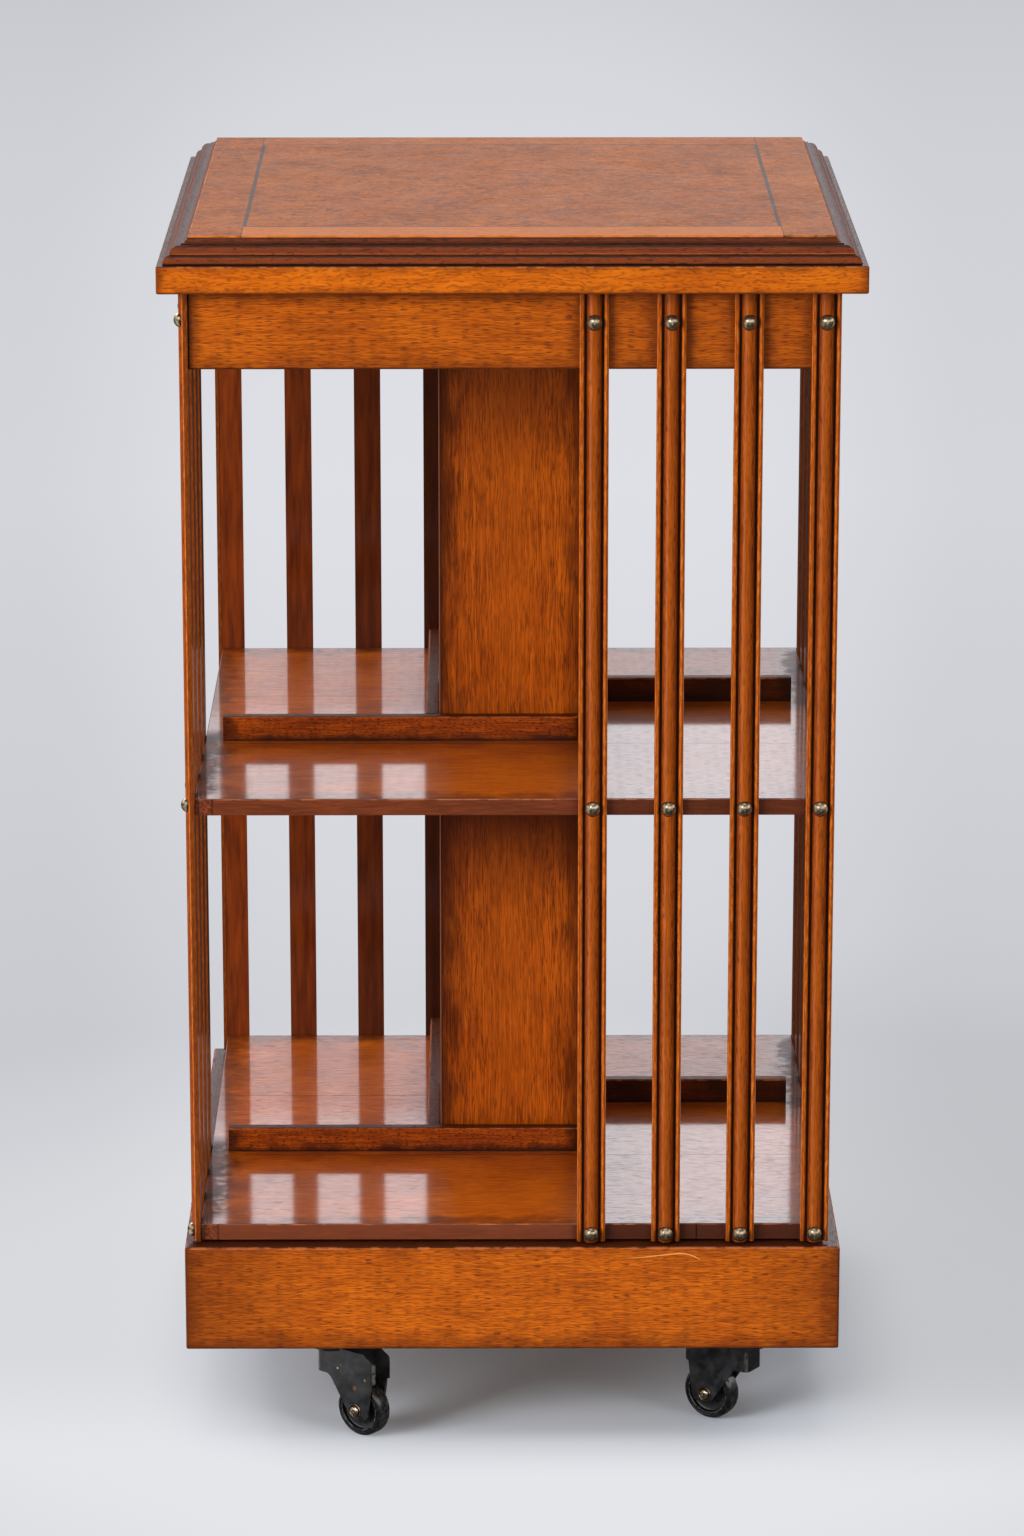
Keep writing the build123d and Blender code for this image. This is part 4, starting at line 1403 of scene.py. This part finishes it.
@dataclass
class Studio:
    """The pale floor, the plain light and the background.

    Attributes:
        fill: Strength of the even light from all round.
        pool: How much brighter the painted pool of light on the background is straight behind.
        floor_gloss: Brightness of the floor in reflections.
        strip_gloss: Brightness of two glowing strips on the floor, seen only in reflections, that give round
            wood its highlights.
        strip_heading: Direction of those strips from the object, along X and along Y.
        high_gloss: Brightness of the room overhead in reflections.
        low_gloss: How much brighter the room is low down, in reflections.
    """

    LAMPS = (
        Lamp("key", (-2.9, -2.2, 1.25), (1.7, 1.8), 140.0, mirrored=False),
        Lamp("side", (2.5, -2.3, 1.6), (0.8, 1.5), 24.0, mirrored=False),
        Lamp("spark", (-1.7, -2.4, 2.5), (0.5, 0.7), 40.0, spreading=False),
        Lamp("overhead", (0.0, -0.4, 3.2), (1.8, 1.8), 26.0),
        Lamp("rear_left", (-2.2, 2.6, 2.6), (1.2, 1.2), 40.0),
        Lamp("rear_right", (2.4, 2.5, 2.6), (1.2, 1.2), 36.0),
    )
    FLOOR_RADIUS = 40.0
    FLOOR_MATT = paint(211, 218, 229)
    BACKGROUND = paint(213, 214, 219)
    FLOOR_SPAN = 10000.0
    FLOOR_TONES = (
        (0.0, paint(218, 219, 223)), (0.042, paint(217, 218, 222)), (0.06, paint(209, 210, 215)),
        (0.08, paint(201, 202, 207)), (0.16, paint(206, 207, 212)), (0.3, paint(212, 213, 218)),
        (0.5, paint(209, 210, 215)), (0.8, paint(201, 202, 207)),
    )

    fill: float = 0.27
    pool: float = 0.12
    floor_gloss: float = 0.06
    strip_gloss: float = 1.1
    strip_heading: tuple[float, float] = (-0.905, -0.425)
    high_gloss: float = 0.2
    low_gloss: float = 2.4

    def floor_glow(self, point: Point, far: Sock) -> Sock:
        """Paint pools of light on the glowing floor straight behind and in front, and a shadow to the right
        of the base.

        Args:
            point: The shaded point.
            far: Its distance from the turning axis.

        Returns:
            The brightness.
        """
        x, y = point.x, point.y
        across = x / (y * 0.09 + 330.0)
        back = (y - 2300.0) / 9000.0
        # Painted pool of light straight behind.
        behind = (across * across + back * back).smooth(1.0, 0.1) * y.smooth(-600.0, 1300.0)
        # Painted pool of light in front.
        front = y.smooth(-40.0, -260.0) * far.smooth(1200.0, 600.0)
        # Painted shadow to the right of the base.
        right = x.smooth(60.0, 270.0) * x.smooth(1200.0, 350.0)
        right = right * y.smooth(-330.0, -120.0) * y.smooth(1100.0, 150.0)
        return (behind * self.pool + 1.0) * (1.0 + front * 0.12 - right * 0.2)

    def build_floor(self) -> None:
        """Lay a wide floor that fades into the background."""
        shape = bmesh.new()
        bmesh.ops.create_circle(shape, cap_ends=True, segments=96, radius=self.FLOOR_RADIUS)
        mesh = bpy.data.meshes.new("studio_floor")
        shape.to_mesh(mesh)
        shape.free()
        floor = bpy.data.objects.new("studio_floor", mesh)
        bpy.context.scene.collection.objects.link(floor)
        material, graph = new_finish("studio_floor")
        point = graph.place()
        x, y = point.x, point.y
        far = (x * x + y * y) ** 0.5
        matt = graph.read("ShaderNodeBsdfDiffuse", {}, {"Color": self.FLOOR_MATT})
        tone = (far / self.FLOOR_SPAN).ramp(self.FLOOR_TONES)
        inputs = {"Color": tone, "Strength": self.floor_glow(point, far)}
        glow = graph.read("ShaderNodeEmission", {}, inputs)
        # Near the base a matt floor takes real shadow; further out the floor only glows, its light and shade
        # painted.
        squarish = (abs(x - 15.0) ** 4.0 + abs(y) ** 4.0) ** 0.25
        shown = graph.blend(squarish.smooth(178.0, 300.0).most(0.04), matt, glow)
        # Two glowing strips that only reflections see, for highlights on round wood.
        along, back = self.strip_heading
        strip = abs((x * along + y * back) / far).smooth(0.9, 0.97)
        inputs = {"Color": WHITE, "Strength": strip * self.strip_gloss + self.floor_gloss}
        mirrored = graph.read("ShaderNodeEmission", {}, inputs)
        surface = graph.blend(graph.ray("Glossy"), shown, mirrored)
        graph.node("ShaderNodeOutputMaterial", {}, {"Surface": surface})
        mesh.materials.append(material)

    def build_world(self) -> None:
        """Light from all round, with the pale background shown to eyes and reflections."""
        world = bpy.data.worlds.new("studio")
        world.use_nodes = True
        bpy.context.scene.world = world
        graph = Graph(world.node_tree)
        seen = graph.ray("Camera").most(graph.ray("Transmission"))
        glossy = graph.ray("Glossy")
        heading = graph.split(graph.read("ShaderNodeTexCoord", {}, {}, "Generated"))
        up = heading.z
        low = up.smooth(0.13, 0.24) * up.smooth(0.75, 0.37) * (up * 3.4 + 0.1)
        right = heading.x.smooth(0.0, 0.03) * up.smooth(0.18, 0.24)
        mirrored = low * (1.0 + right * 0.28) * self.low_gloss + self.high_gloss
        light = graph.read("ShaderNodeBackground", {}, {"Color": WHITE, "Strength": self.fill})
        inputs = {"Color": self.BACKGROUND, "Strength": seen + glossy * mirrored}
        shown = graph.read("ShaderNodeBackground", {}, inputs)
        surface = graph.blend(seen.most(glossy), light, shown)
        graph.node("ShaderNodeOutputWorld", {}, {"Surface": surface})

    def build(self) -> None:
        """Lay the floor, light the room and hang the lamps."""
        self.build_floor()
        self.build_world()
        for lamp in self.LAMPS:
            lamp.hang()


@dataclass
class PhotoCamera:
    """The camera, where the photograph was taken from.

    Attributes:
        place: Its place, in metres.
        pitch: How far it looks down, in degrees.
        yaw: How far it looks towards +X, in degrees.
        focal: Its focal length in pixels of the photograph.
        tall: Height of the photograph in pixels.
    """

    place: Triple = (-0.0183, -4.0453, 1.5164)
    pitch: float = 14.95
    yaw: float = 0.27
    focal: float = 5728.6
    tall: int = 1536

    def build(self) -> None:
        """Create the camera and make it the scene's own."""
        data = bpy.data.cameras.new("photo_camera")
        data.sensor_width = 36.0
        data.lens = self.focal / self.tall * data.sensor_width
        data.clip_end = 100.0
        camera = bpy.data.objects.new("photo_camera", data)
        camera.location = self.place
        camera.rotation_euler = (math.radians(90 - self.pitch), 0.0, math.radians(-self.yaw))
        bpy.context.scene.collection.objects.link(camera)
        bpy.context.scene.camera = camera


def main() -> None:
    """Dress the bookcase and build the studio round it."""
    logging.basicConfig(level=logging.INFO, format="%(name)s: %(message)s")
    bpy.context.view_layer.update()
    bpy.context.scene.view_settings.view_transform = "Standard"
    top = Top.measured()
    top.dress_board()
    top.dress_moulding()
    for veneer in Veneer:
        top.dress_veneer(veneer)
    top.dress_line()
    case = Case.measured()
    case.dress_frieze()
    case.dress_slats()
    case.dress_screws()
    for node in ("middle_shelf", "lower_shelf", "shelf_lipping"):
        case.dress_shelf(node)
    for tier in Tier:
        case.dress_stops(tier)
    for tier in Tier:
        case.dress_column(tier)
    base = BaseBox.measured()
    base.dress_boards()
    base.dress_inside()
    Ironwork().dress()
    for castor in Castor.found():
        castor.dress_fork()
        castor.build_wheel()
        castor.build_axle()
    Studio().build()
    PhotoCamera().build()


if __name__ == "__main__":
    main()
